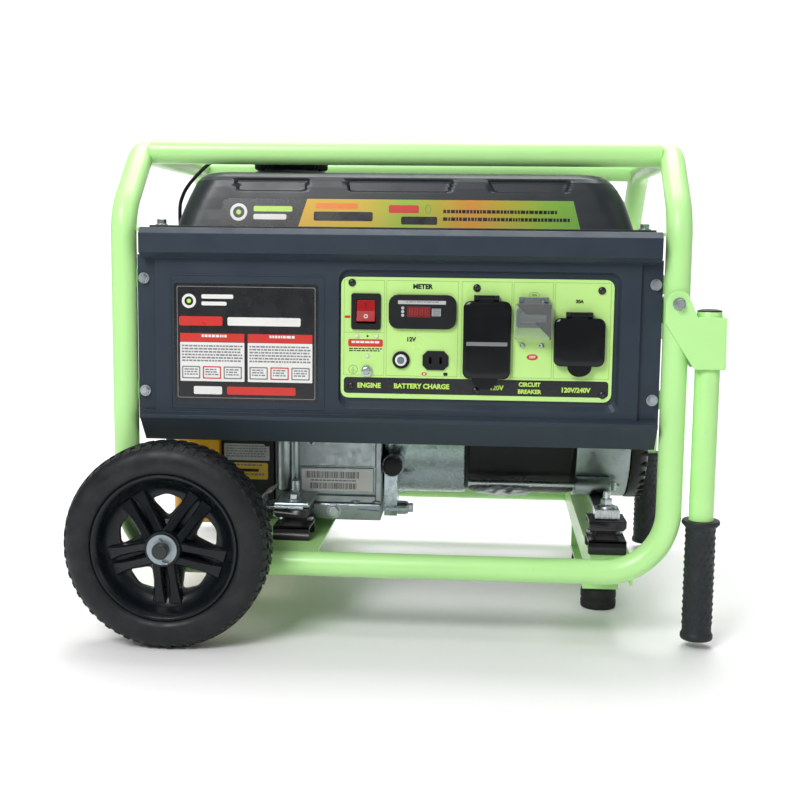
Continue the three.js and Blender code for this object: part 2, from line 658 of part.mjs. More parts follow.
/** Two ears and the strip that carries them, either side of a flap's knuckle. */
function hingeEars({ z, tab }, flange) {
  const top = z[1];
  const ear = (from, to) => block([from, to], [COVER_PIVOT.y - 2.2, UNIT_BACK], [top + 1.5, top + 6.5]);
  return join(
    block([tab[0] - 6, tab[1] + 6], [UNIT_BACK - flange, UNIT_BACK], [top - 3, top + 6.5]),
    ear(tab[0] - 6, tab[0] - FIT),
    ear(tab[1] + FIT, tab[1] + 6),
  );
}

/** The base of a covered unit: flange, body and hinge ears. */
function coveredUnit(unit) {
  const flange = 4;
  const face = { x: inset(unit.x, 1.5), z: inset(unit.z, 1.5) };
  return join(panelUnit(face, { flange, margin: 4.4, depth: 24 }), hingeEars(unit, flange));
}

/** A flap that hangs from its knuckle over the unit; depth stands out from the hinge line. */
function flap({ x, z, tab }, front) {
  const back = UNIT_BACK - 4.8;
  const top = z[1];
  const knuckle = bar('x', 3, tab, [0, COVER_PIVOT.y, top + COVER_PIVOT.above], 16);
  const arm = block(tab, [COVER_PIVOT.y - 3, back], [top - 1, top + COVER_PIVOT.above]);
  return join(prism('y', roundRect(x, z, 5), [front, back]), arm, knuckle);
}

/** The flap's thumb tab below its lower edge. */
const thumbTab = ([x0, x1], z) => block([x0, x1], [-261, UNIT_BACK - 4.8], [z - 12, z + 1]);

function duplexOutlet() {
  const middle = (DUPLEX.x[0] + DUPLEX.x[1]) / 2;
  return cut(coveredUnit(DUPLEX), ...plugSlots(middle, 385), ...plugSlots(middle, 342));
}

const duplexCover = () => join(flap(DUPLEX, -262.5), thumbTab([90, 120.5], DUPLEX.z[0]));

/** The locking outlet: a round face with four curved slots. */
function lockingOutlet() {
  const [x, z] = [(LOCKING.x[0] + LOCKING.x[1]) / 2, (LOCKING.z[0] + LOCKING.z[1]) / 2];
  const slots = [0, 1, 2, 3].map((quarter) => {
    const slot = new THREE.Shape();
    const start = quarter * (Math.PI / 2) - 0.28;
    slot.absarc(x, z, 18, start, start + 0.56);
    slot.absarc(x, z, 15.4, start + 0.56, start, true);
    slot.closePath();
    return prism('y', slot, [-262, -242]);
  });
  return cut(coveredUnit(LOCKING), ...slots);
}

const lockingCover = () => join(flap(LOCKING, -263), thumbTab([200, 228.5], LOCKING.z[0]));

const TOGGLE = { y: -252.5, z: 389.5, x: [145, 175], r: 6.5, tilt: THREE.MathUtils.degToRad(12) };

/** The breaker: a body with a round well for its wide toggle, and the ears that carry its cover. */
function breakerBody() {
  const body = panelUnit(BREAKER_BASE, { flange: 4, margin: 2.4, depth: 24 });
  const tongue = block(grow(BREAKER.tab, 6), [UNIT_BACK - 4, UNIT_BACK], [399, 406]);
  const well = bar('x', TOGGLE.r + 0.4, grow(TOGGLE.x, 0.5), [0, TOGGLE.y, TOGGLE.z], 20);
  const mouth = block(grow(TOGGLE.x, 0.5), [-262, TOGGLE.y], [TOGGLE.z - 9, TOGGLE.z + 9]);
  return cut(join(body, tongue, hingeEars(BREAKER, 4)), well, mouth);
}

function breakerToggle() {
  const handle = [[-9.2, -2.4], [-9.2, 2.4], [0, 5], [0, -5]].map(([y, z]) => {
    const point = new THREE.Vector2(y, z).rotateAround(new THREE.Vector2(), -TOGGLE.tilt);
    return [TOGGLE.y + point.x, TOGGLE.z + point.y];
  });
  return join(bar('x', TOGGLE.r, TOGGLE.x, [0, TOGGLE.y, TOGGLE.z], 20), prism('x', handle, TOGGLE.x));
}

/** The clear flap over the breaker: a shallow box, hollow towards the toggle. */
function breakerCover() {
  const hollow = block(inset(BREAKER.x, 1.6), [-264.4, -250], inset(BREAKER.z, 1.6));
  return cut(flap(BREAKER, -266), hollow);
}

place('control_plate', PLATE_LIME, controlPlate());
place('switch_bezel', BLACK, switchBezel());
place('switch_paddle', RED, switchPaddle());
place('digital_meter', BLACK, digitalMeter());
place('meter_button', GREY, block(METER_BUTTON.x, [-257.9, -253], METER_BUTTON.z));
place('dc_socket', BLACK, dcSocket());
place('dc_breaker', GREY, dcBreaker());
place('dc_breaker_button', BLACK, dcBreakerButton());
place('duplex_outlet', BLACK, duplexOutlet());
place('duplex_cover', BLACK, duplexCover());
place('breaker_body', BLACK, breakerBody());
place('breaker_toggle', BLACK, breakerToggle());
place('breaker_cover', CLEAR, breakerCover());
place('locking_outlet', BLACK, lockingOutlet());
place('locking_cover', BLACK, lockingCover());

// ---------------------------------------------------------------- engine
const onShaft = (profile, segments = 28) => turned('x', profile, [0, 0, SHAFT_Z], segments);

/** A ring around the shaft, open in the middle. */
function ring(inner, outer, [from, to], segments = 28) {
  return onShaft([[inner, from], [outer, from], [outer, to], [inner, to], [inner, from]], segments);
}

const journalBore = ([from, to]) => bar('x', SHAFT_R + 0.5, [from, to], [0, 0, SHAFT_Z]);

/** The crankcase, with its base flange and the arms that stand on the isolators. */
function crankcase() {
  const [x0, x1] = CRANKCASE_X;
  const outline = [[-112, 130], [-112, 262], [-96, 300], [-55, 330], [60, 330], [112, 290], [112, 130]];
  const arms = block([ENGINE_MOUNT_X - 23, ENGINE_MOUNT_X + 23], [-192, 192], [ISOLATOR_TOP + FIT, 151]);
  const body = join(prism('x', outline, CRANKCASE_X), block(CRANKCASE_X, [-122, 122], [115, 137]), arms);
  const chamber = ring(0.1, 62, [x0 + 18, x1 - 18], 28);
  return cut(body, chamber, journalBore([x0 - 5, x1 + 5]));
}

/** The finned cylinder, head and carburettor, leaning back behind the crankcase. */
function cylinder() {
  const x = [-155, -39];
  const tilt = THREE.MathUtils.radToDeg(CYLINDER_TILT);
  const lean = (shape) => shape.rotate([tilt, 0, 0]).translate([0, 0, SHAFT_Z]);
  const fin = (y) => block(inset(x, -2), [y, y + 3.5], [-62, 62]);
  const fins = [118, 128, 138, 148, 158, 168, 178].map(fin);
  const barrel = block(inset(x, 12), [70, 195], [-48, 48]);
  const head = block(x, [186, 212], [-60, 60]);
  const rockerCover = block(inset(x, 14), [211, 226], [-40, 40]);
  const whole = lean(join(barrel, head, rockerCover, ...fins));
  const carburettor = join(block([-184.7, -140], [168, 204], [300, 342]),
    bar('z', 18, [268, 305], [-164, 186, 0]));
  return join(cut(whole, block([-300, 100], [-300, 112.3], [0, 600])), carburettor);
}

/** A cover with a round top and a flat foot, as an outline across the shaft. */
function coverOutline(radius, halfFoot, footZ) {
  const shape = new THREE.Shape();
  shape.moveTo(-halfFoot, footZ);
  shape.lineTo(halfFoot, footZ);
  shape.lineTo(halfFoot, SHAFT_Z);
  shape.absellipse(0, SHAFT_Z, halfFoot, radius, 0, Math.PI, false, 0);
  shape.closePath();
  return shape;
}

/** The black shroud beside the crankcase, open towards the fan. */
function fanShroud() {
  const body = prism('x', coverOutline(118, 116, 128), [-238, -168.3], 7);
  return cut(body, bar('x', 108, [-240, -176], [0, 0, SHAFT_Z], 28), journalBore([-180, -160]));
}

const FAN_COVER_X = [-300, -238.3];
const STARTER_ROPE = { y: -52, z: SHAFT_Z + 60, r: 2.5 };

/** The yellow fan cover, open towards the shroud and behind the starter. */
function fanCover() {
  const [x0, x1] = FAN_COVER_X;
  const body = prism('x', coverOutline(128, 126, 106), FAN_COVER_X, 7);
  const hollow = prism('x', coverOutline(125, 123, 109), [x0 + 3, x1 + 5], 7);
  return cut(body, hollow, bar('x', 84, [x0 - 5, x0 + 5], [0, 0, SHAFT_Z], 28));
}

/** The recoil starter's dished housing, with the eye that the rope comes out of. */
function recoilHousing() {
  const back = FAN_COVER_X[0] - FIT;
  const profile = [[0, -326], [70, -326], [90, -318], [96, -306], [96, back], [88, back], [88, -306],
    [84, -315], [68, -322.5], [0, -322.5]];
  const { y, z, r } = STARTER_ROPE;
  return cut(onShaft(profile, 28), bar('x', r + 0.8, [-330, -300], [0, y, z], 16));
}

/** The T-shaped pull handle with the straight length of rope behind it. */
function starterGrip() {
  const { y, z, r } = STARTER_ROPE;
  const across = prism('x', roundRect([y - 42, y + 42], [z - 11, z + 11], 10), [-352, -334]);
  const stem = bar('x', 9, [-336, -326.5], [0, y, z], 16);
  return join(across, stem, bar('x', r, [-330, -238], [0, y, z], 12));
}

/** Crankshaft, flywheel and alternator rotor, which turn as one. */
function rotorShaft() {
  const steps = [
    [-236, 12], [-228, 100], [-205, SHAFT_R], [-125, 50], [-70, SHAFT_R], [92, ROTOR_R],
    [215, SHAFT_R], [240, 12],
  ];
  const profile = [[0, steps[0][0]]];
  steps.forEach(([x, r], i) => profile.push([r, x], [r, steps[i + 1]?.[0] ?? 295]));
  return onShaft([...profile, [0, 295]], 20);
}

/** The round front bell of the alternator, with its foot lug and dipstick boss. */
function frontBell() {
  const [x0, x1] = BELL_X;
  const body = join(
    ring(0, BELL_R, [x0, x1]),
    block([x0, -6], [-98, -60], [117, 168]),
    bar('y', 14, [-112, -60], [DIPSTICK.x, 0, DIPSTICK.z]),
  );
  const stem = bar('y', DIPSTICK.r + 0.4, [-120, -50], [DIPSTICK.x, 0, DIPSTICK.z]);
  return cut(body, bar('x', 90, [x0 + 8, x1 + 5], [0, 0, SHAFT_Z], 28), journalBore([x0 - 5, x1]), stem);
}

const DIPSTICK = { x: -12, z: 187, r: 4 };

function dipstick() {
  const profile = [[0, -125], [12, -125], [13.5, -123], [13.5, -112.3], [4, -112.3], [4, -62], [0, -62]];
  return turned('y', profile, [DIPSTICK.x, 0, DIPSTICK.z], 20);
}

const TIE_ROD = { radius: 114, degrees: [43.5, 136.5, 223.5, 316.5] };

/** The rear bell, its arms on the isolators and the four tie rods that clamp the stator. */
function endBell() {
  const [x0, x1] = END_BELL_X;
  const rods = TIE_ROD.degrees.flatMap((degrees) => {
    const angle = THREE.MathUtils.degToRad(degrees);
    const centre = [0, TIE_ROD.radius * Math.cos(angle), SHAFT_Z + TIE_ROD.radius * Math.sin(angle)];
    return [bar('x', 3.5, [x0 - 140, x0 + 5], centre, 10), bar('x', 12, [x0, x0 + 46], centre, 16)];
  });
  const mountX = (half) => [ALTERNATOR_MOUNT_X - half, ALTERNATOR_MOUNT_X + half];
  const arms = block(mountX(12), [-190, 190], [ISOLATOR_TOP + FIT, 150]);
  const posts = SIDES.map(([, side]) =>
    block(mountX(15), toSide(side, [182, 212]), [ISOLATOR_TOP + FIT, 156]));
  const body = join(ring(0, BELL_R, END_BELL_X), arms, ...posts, ...rods);
  const hollow = bar('x', 90, [x0 - 5, x1 - 10], [0, 0, SHAFT_Z], 28);
  return cut(body, hollow, bar('x', 12.5, [x0, x1 + 5], [0, 0, SHAFT_Z]));
}

/** The black cap over the end of the alternator. */
function endCover() {
  const back = END_BELL_X[1] + FIT;
  const end = back + 24.7;
  return onShaft([[0, end - 3.5], [78, end - 3.5], [95, end - 6], [104, end - 14], [104, back], [107, back],
    [107, end - 14], [98, end - 3], [80, end], [0, end]]);
}

/** The air filter's box, with rounded edges. */
function airFilter() {
  return prism('y', roundRect([-290, -185], [265, 395], 16), [134, 226]);
}

const CHOKE = { x: -170, z: 322 };

function chokeLever() {
  return join(bar('y', 5, [204.3, 211], [CHOKE.x, 0, CHOKE.z], 16),
    block([CHOKE.x - 3, CHOKE.x + 3], [208, 211], [CHOKE.z, CHOKE.z + 32]));
}

const MUFFLER = { x: [0, 240], y: [120, 218], z: [262, 388] };

/** The muffler with its inlet pipe, open tail pipe and the studs for its guard. */
function muffler() {
  const body = prism('x', roundRect(MUFFLER.y, MUFFLER.z, 34), MUFFLER.x, 6);
  const inlet = bar('x', 13, [-36.5, 5], [0, 180, 325], 20);
  const tail = bar('x', 15, [235, 264], [0, 165, 325], 20);
  const studs = [24, 216].flatMap((x) => [285, 365].map((z) => bar('y', 5, [190, 222 - FIT], [x, 0, z], 12)));
  return cut(join(body, inlet, tail, ...studs), bar('x', 12, [222, 270], [0, 165, 325], 20));
}

/** The slotted heat guard that stands off the back of the muffler. */
function mufflerGuard() {
  const shield = block([-6, 246], [222, 224.5], [262, 388]);
  const slots = [288, 317, 346].flatMap((z) => [36, 82, 128, 174].map((x) =>
    block([x, x + 30], [220, 226], [z, z + 12])));
  return cut(shield, ...slots);
}

place('crankcase', ALUMINIUM, crankcase());
place('cylinder', ALUMINIUM, cylinder());
place('fan_shroud', BLACK, fanShroud());
place('fan_cover', YELLOW, fanCover());
place('recoil_housing', BLACK, recoilHousing());
place('starter_grip', RUBBER, starterGrip());
place('alternator_front_bell', ALUMINIUM, frontBell());
place('dipstick', BLACK, dipstick());
place('stator', BLACK, ring(ROTOR_R + 1, STATOR_R, STATOR_X));
place('alternator_end_bell', ALUMINIUM, endBell());
place('alternator_end_cover', BLACK, endCover());
place('rotor_shaft', STEEL, rotorShaft());
place('air_filter', BLACK, airFilter());
place('choke_lever', STEEL, chokeLever());
place('muffler', STEEL, muffler());
place('muffler_guard', BLACK, mufflerGuard());

export default part;
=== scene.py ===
"""Portable open-frame generator: the looks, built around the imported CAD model.

Shapes are given in millimetres, with X measured from the middle of the tubular frame, as in the CAD source.
Make.done() turns them into metres in the row's frame.
"""

import math
import random

import bmesh
import bpy
from mathutils import Matrix, Vector, noise


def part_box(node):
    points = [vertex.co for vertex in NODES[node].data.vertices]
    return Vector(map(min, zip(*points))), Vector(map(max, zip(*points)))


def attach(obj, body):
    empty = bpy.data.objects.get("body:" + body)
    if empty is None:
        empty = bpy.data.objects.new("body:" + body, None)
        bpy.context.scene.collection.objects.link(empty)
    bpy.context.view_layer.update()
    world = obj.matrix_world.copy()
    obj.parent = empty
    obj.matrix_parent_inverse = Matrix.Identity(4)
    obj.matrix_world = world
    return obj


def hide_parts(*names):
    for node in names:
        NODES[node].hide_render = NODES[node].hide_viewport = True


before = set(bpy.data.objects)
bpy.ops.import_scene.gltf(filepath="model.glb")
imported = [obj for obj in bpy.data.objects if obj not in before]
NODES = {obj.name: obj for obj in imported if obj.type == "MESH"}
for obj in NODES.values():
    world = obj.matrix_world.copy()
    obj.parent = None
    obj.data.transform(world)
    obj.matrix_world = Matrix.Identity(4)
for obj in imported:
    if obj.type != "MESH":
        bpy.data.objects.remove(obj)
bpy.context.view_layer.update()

MM = 0.001  # one millimetre in metres
HOOP_LOW, HOOP_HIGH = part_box("frame_front_hoop")
FRAME_X = (HOOP_LOW.x + HOOP_HIGH.x) / 2  # the frame's middle, in metres in the row's frame
SIDES = (("front", -1), ("rear", 1))


# ------------------------------------------------------------------ camera
CAMERA_TURN = (0.06883, 0.12376, 0.01166)  # yaw, pitch and roll in radians
CAMERA_PLACE = (0.10476, -1.68572, 0.46949)  # metres, X from the frame's middle
CAMERA_LENS = 55.21
SENSOR_WIDTH = 36


def add_camera():
    """A camera in front of the panel, a little right of the middle, looking slightly down."""
    yaw, pitch, roll = CAMERA_TURN
    forward = Vector((-math.sin(yaw) * math.cos(pitch), math.cos(yaw) * math.cos(pitch), -math.sin(pitch)))
    level = Vector((math.cos(yaw), math.sin(yaw), 0))
    upright = level.cross(forward)
    right = level * math.cos(roll) + upright * math.sin(roll)
    up = upright * math.cos(roll) - level * math.sin(roll)
    camera = bpy.data.objects.new("camera", bpy.data.cameras.new("camera"))
    camera.data.sensor_width = SENSOR_WIDTH
    camera.data.lens = CAMERA_LENS
    place = Matrix((right, up, -forward)).transposed().to_4x4()
    x, y, z = CAMERA_PLACE
    place.translation = (FRAME_X + x, y, z)
    camera.matrix_world = place
    bpy.context.scene.collection.objects.link(camera)
    bpy.context.scene.camera = camera


add_camera()


# ------------------------------------------------------------------ materials
class Shader:
    """A principled material whose detail comes from textures in the object's own coordinates."""

    def __init__(self, name, colour, roughness, metallic=0.0, **sockets):
        self.material = bpy.data.materials.new(name)
        self.material.use_nodes = True
        self.tree = self.material.node_tree
        self.principled = self.tree.nodes["Principled BSDF"]
        self.where = self.tree.nodes.new("ShaderNodeTexCoord").outputs["Object"]
        self.set("Base Color", (*colour, 1))
        self.set("Roughness", roughness)
        self.set("Metallic", metallic)
        for key, value in sockets.items():
            self.set(key.replace("_", " "), value)

    def set(self, socket, value):
        self.principled.inputs[socket].default_value = value

    def link(self, source, target):
        self.tree.links.new(source, target)

    def noise(self, size, detail=3.0, roughness=0.5, stretch=(1, 1, 1)):
        """Noise whose features are about size millimetres across."""
        mapping = self.tree.nodes.new("ShaderNodeMapping")
        mapping.inputs["Scale"].default_value = stretch
        self.link(self.where, mapping.inputs["Vector"])
        texture = self.tree.nodes.new("ShaderNodeTexNoise")
        texture.inputs["Scale"].default_value = 1 / (size * MM)
        texture.inputs["Detail"].default_value = detail
        texture.inputs["Roughness"].default_value = roughness
        self.link(mapping.outputs["Vector"], texture.inputs["Vector"])
        return texture.outputs["Fac"]

    def ramp(self, source, low, high, out_low=0.0, out_high=1.0):
        """source between low and high, spread from out_low to out_high."""
        node = self.tree.nodes.new("ShaderNodeMapRange")
        for key, value in (("From Min", low), ("From Max", high), ("To Min", out_low), ("To Max", out_high)):
            node.inputs[key].default_value = value
        self.link(source, node.inputs["Value"])
        return node.outputs["Result"]

    def tint(self, factor, colour):
        """Mixes another colour into the base colour where factor is high."""
        mix = self.tree.nodes.new("ShaderNodeMix")
        mix.data_type = "RGBA"
        base = self.principled.inputs["Base Color"]
        mix.inputs["A"].default_value = base.default_value
        if base.links:
            self.link(base.links[0].from_socket, mix.inputs["A"])
        mix.inputs["B"].default_value = (*colour, 1)
        self.link(factor, mix.inputs["Factor"])
        self.link(mix.outputs["Result"], base)
        return self

    def uneven(self, size, low, high):
        """Roughness that wanders between low and high over patches of the given size."""
        self.link(self.ramp(self.noise(size), 0.3, 0.7, low, high), self.principled.inputs["Roughness"])
        return self

    def bump(self, height, depth):
        """Adds relief: height runs from 0 to 1 and depth is in millimetres."""
        node = self.tree.nodes.new("ShaderNodeBump")
        node.inputs["Distance"].default_value = depth * MM
        self.link(height, node.inputs["Height"])
        normal = self.principled.inputs["Normal"]
        if normal.links:
            self.link(normal.links[0].from_socket, node.inputs["Normal"])
        self.link(node.outputs["Normal"], normal)
        return self


def darker(colour, share):
    return tuple(channel * share for channel in colour)


def powder_coat(name, colour, roughness=0.36, coat=0.25):
    """Powder-coated steel: faint orange peel, slight patchiness and a little grime."""
    paint = Shader(name, colour, roughness, Coat_Weight=coat, Coat_Roughness=0.2)
    paint.tint(paint.ramp(paint.noise(90), 0.4, 0.75, 0, 0.35), darker(colour, 0.86))
    paint.tint(paint.ramp(paint.noise(14, 6, 0.7), 0.66, 0.78, 0, 0.35), darker(colour, 0.55))
    paint.uneven(40, roughness - 0.06, roughness + 0.1)
    return paint.bump(paint.noise(2.6, 1), 0.035).material


def moulded(name, colour, roughness=0.5, grain=0.5):
    """Moulded plastic: fine leather grain, faint flow marks and scuffs."""
    plastic = Shader(name, colour, roughness, Specular_IOR_Level=0.3)
    plastic.tint(plastic.ramp(plastic.noise(120, 2), 0.4, 0.7, 0, 0.4), darker(colour, 1.25))
    plastic.tint(plastic.ramp(plastic.noise(9, 8, 0.8), 0.68, 0.8, 0, 0.5), darker(colour, 1.9))
    plastic.uneven(30, roughness - 0.08, roughness + 0.1)
    plastic.bump(plastic.noise(0.9, 2), 0.05 * grain)
    return plastic.bump(plastic.noise(4.5, 3), 0.04 * grain).material


def rubber(name, colour=(0.013, 0.013, 0.014), roughness=0.72):
    """Rubber: matt, with a dusty bloom and fine pitting."""
    skin = Shader(name, colour, roughness, Specular_IOR_Level=0.35)
    skin.tint(skin.ramp(skin.noise(25, 6, 0.7), 0.45, 0.75, 0, 0.4), (0.035, 0.036, 0.036))
    skin.uneven(18, roughness - 0.12, roughness + 0.12)
    return skin.bump(skin.noise(1.3, 4), 0.07).material


def metal(name, colour, roughness, grain=0.03, grain_size=1.2, stain=(0.25, 0.22, 0.18), stretch=(1, 1, 1)):
    """Bare or plated metal with handling stains and a fine surface texture."""
    surface = Shader(name, colour, roughness, 1.0)
    surface.tint(surface.ramp(surface.noise(22, 5, 0.65), 0.55, 0.8, 0, 0.45), stain)
    surface.uneven(8, roughness - 0.08, roughness + 0.12)
    return surface.bump(surface.noise(grain_size, 4, 0.6, stretch), grain).material


LIME_PAINT = powder_coat("lime_powder_coat", (0.50, 0.90, 0.33))
PLATE_LIME = powder_coat("lime_panel_print", (0.53, 0.85, 0.26), 0.32)
SLATE_PLASTIC = moulded("slate_moulding", (0.024, 0.036, 0.052), 0.44, 1.0)
SLATE_PAINT = powder_coat("slate_tank_paint", (0.016, 0.021, 0.026), 0.38, 0.05)
BLACK_PLASTIC = moulded("black_moulding", (0.008, 0.009, 0.010), 0.42, 0.8)
RIM_PLASTIC = moulded("rim_moulding", (0.004, 0.006, 0.008), 0.28, 0.7)
BLACK_PAINT = powder_coat("black_enamel", (0.006, 0.007, 0.008), 0.4)
YELLOW_PAINT = powder_coat("yellow_enamel", (0.80, 0.40, 0.02), 0.3)
GREY_PLASTIC = moulded("grey_moulding", (0.30, 0.31, 0.33), 0.45, 0.6)
WHITE_PLASTIC = moulded("white_moulding", (0.72, 0.72, 0.70), 0.4, 0.4)
RED_PLASTIC = moulded("red_moulding", (0.34, 0.008, 0.010), 0.22, 0.2)
GLOSS_BLACK = moulded("gloss_cover_moulding", (0.006, 0.007, 0.008), 0.13, 0.25)
SMOKED_PLASTIC = moulded("smoked_moulding", (0.13, 0.17, 0.19), 0.16, 0.2)
RUBBER = rubber("rubber")
TYRE = rubber("tyre_rubber", (0.006, 0.008, 0.010), 0.5)
GRIP = rubber("grip_rubber", (0.016, 0.020, 0.023), 0.58)
ZINC = metal("zinc_plate", (0.56, 0.61, 0.65), 0.30, 0.012)
GALVANISED = metal("galvanised_steel", (0.33, 0.39, 0.42), 0.45, 0.03, 2.0)
CAST = metal("cast_aluminium", (0.36, 0.41, 0.42), 0.36, 0.05, 1.6, (0.12, 0.14, 0.13))
TURNED = metal("turned_aluminium", (0.40, 0.47, 0.50), 0.24, 0.02, 1.4, (0.24, 0.27, 0.28), (0.2, 1, 1))
MACHINED = metal("machined_aluminium", (0.55, 0.58, 0.60), 0.3, 0.02, 0.7, (0.3, 0.32, 0.33), (0.1, 1, 1))
FOIL = metal("crumpled_foil", (0.82, 0.85, 0.88), 0.5, 0.3, 2.5, (0.55, 0.57, 0.60))
DARK_STEEL = metal("lacquered_steel", (0.020, 0.021, 0.023), 0.42, 0.05)
STATOR_PAINT = moulded("stator_enamel", (0.002, 0.003, 0.004), 0.35, 0.6)
HOT_STEEL = metal("muffler_steel", (0.30, 0.27, 0.24), 0.5, 0.1, 2.2, (0.20, 0.09, 0.04))


# ------------------------------------------------------------------ mesh building
def on_axis(axis, centre, u, v, along):
    """The point at (u, v) across an axis and along it, from a centre."""
    x, y, z = centre
    if axis == "x":
        return Vector((x + along, y + u, z + v))
    if axis == "y":
        return Vector((x + u, y + along, z + v))
    return Vector((x + u, y + v, z + along))


def shrunk(x, z, inset):
    """A rectangle's two spans, with every side moved in."""
    return (x[0] + inset, x[1] - inset), (z[0] + inset, z[1] - inset)


def sided(profile, side):
    """A lathe profile along Y, turned round for the rear."""
    return [(radius, side * along) for radius, along in profile]


def circle(radius, steps, start=0.0):
    turn = 2 * math.pi / steps
    return [(radius * math.cos(start + turn * k), radius * math.sin(start + turn * k)) for k in range(steps)]


def round_rect(x, z, radius, steps=6):
    """The outline of a rectangle with round corners."""
    points = []
    for cx, cz, start in (
        (x[1] - radius, z[0] + radius, -90),
        (x[1] - radius, z[1] - radius, 0),
        (x[0] + radius, z[1] - radius, 90),
        (x[0] + radius, z[0] + radius, 180),
    ):
        for k in range(steps + 1):
            angle = math.radians(start + 90 * k / steps)
            points.append((cx + radius * math.cos(angle), cz + radius * math.sin(angle)))
    return points


BEND_STEP = math.radians(6)
SPLINE_STEPS = 8


def bend(corners, radii):
    """The points of a path with straight runs and round bends of the given radii."""
    corners = [Vector(corner) for corner in corners]
    points = [corners[0]]
    for before, corner, after, radius in zip(corners, corners[1:], corners[2:], radii):
        arrive = (corner - before).normalized()
        leave = (after - corner).normalized()
        angle = arrive.angle(leave)
        axis = arrive.cross(leave).normalized()
        start = corner - arrive * radius * math.tan(angle / 2)
        centre = start + axis.cross(arrive) * radius
        count = max(3, math.ceil(angle / BEND_STEP))
        for k in range(count + 1):
            points.append(centre + Matrix.Rotation(angle * k / count, 3, axis) @ (start - centre))
    return [*points, corners[-1]]


def spline(points):
    """A smooth curve through the points."""
    points = [Vector(point) for point in points]
    padded = [points[0] * 2 - points[1], *points, points[-1] * 2 - points[-2]]
    curve = []
    for a, b, c, d in zip(padded, padded[1:], padded[2:], padded[3:]):
        for k in range(SPLINE_STEPS):
            t = k / SPLINE_STEPS
            squared = (2 * a - 5 * b + 4 * c - d) * t**2
            cubed = (3 * b - a - 3 * c + d) * t**3
            curve.append((2 * b + (c - a) * t + squared + cubed) / 2)
    return [*curve, points[-1]]


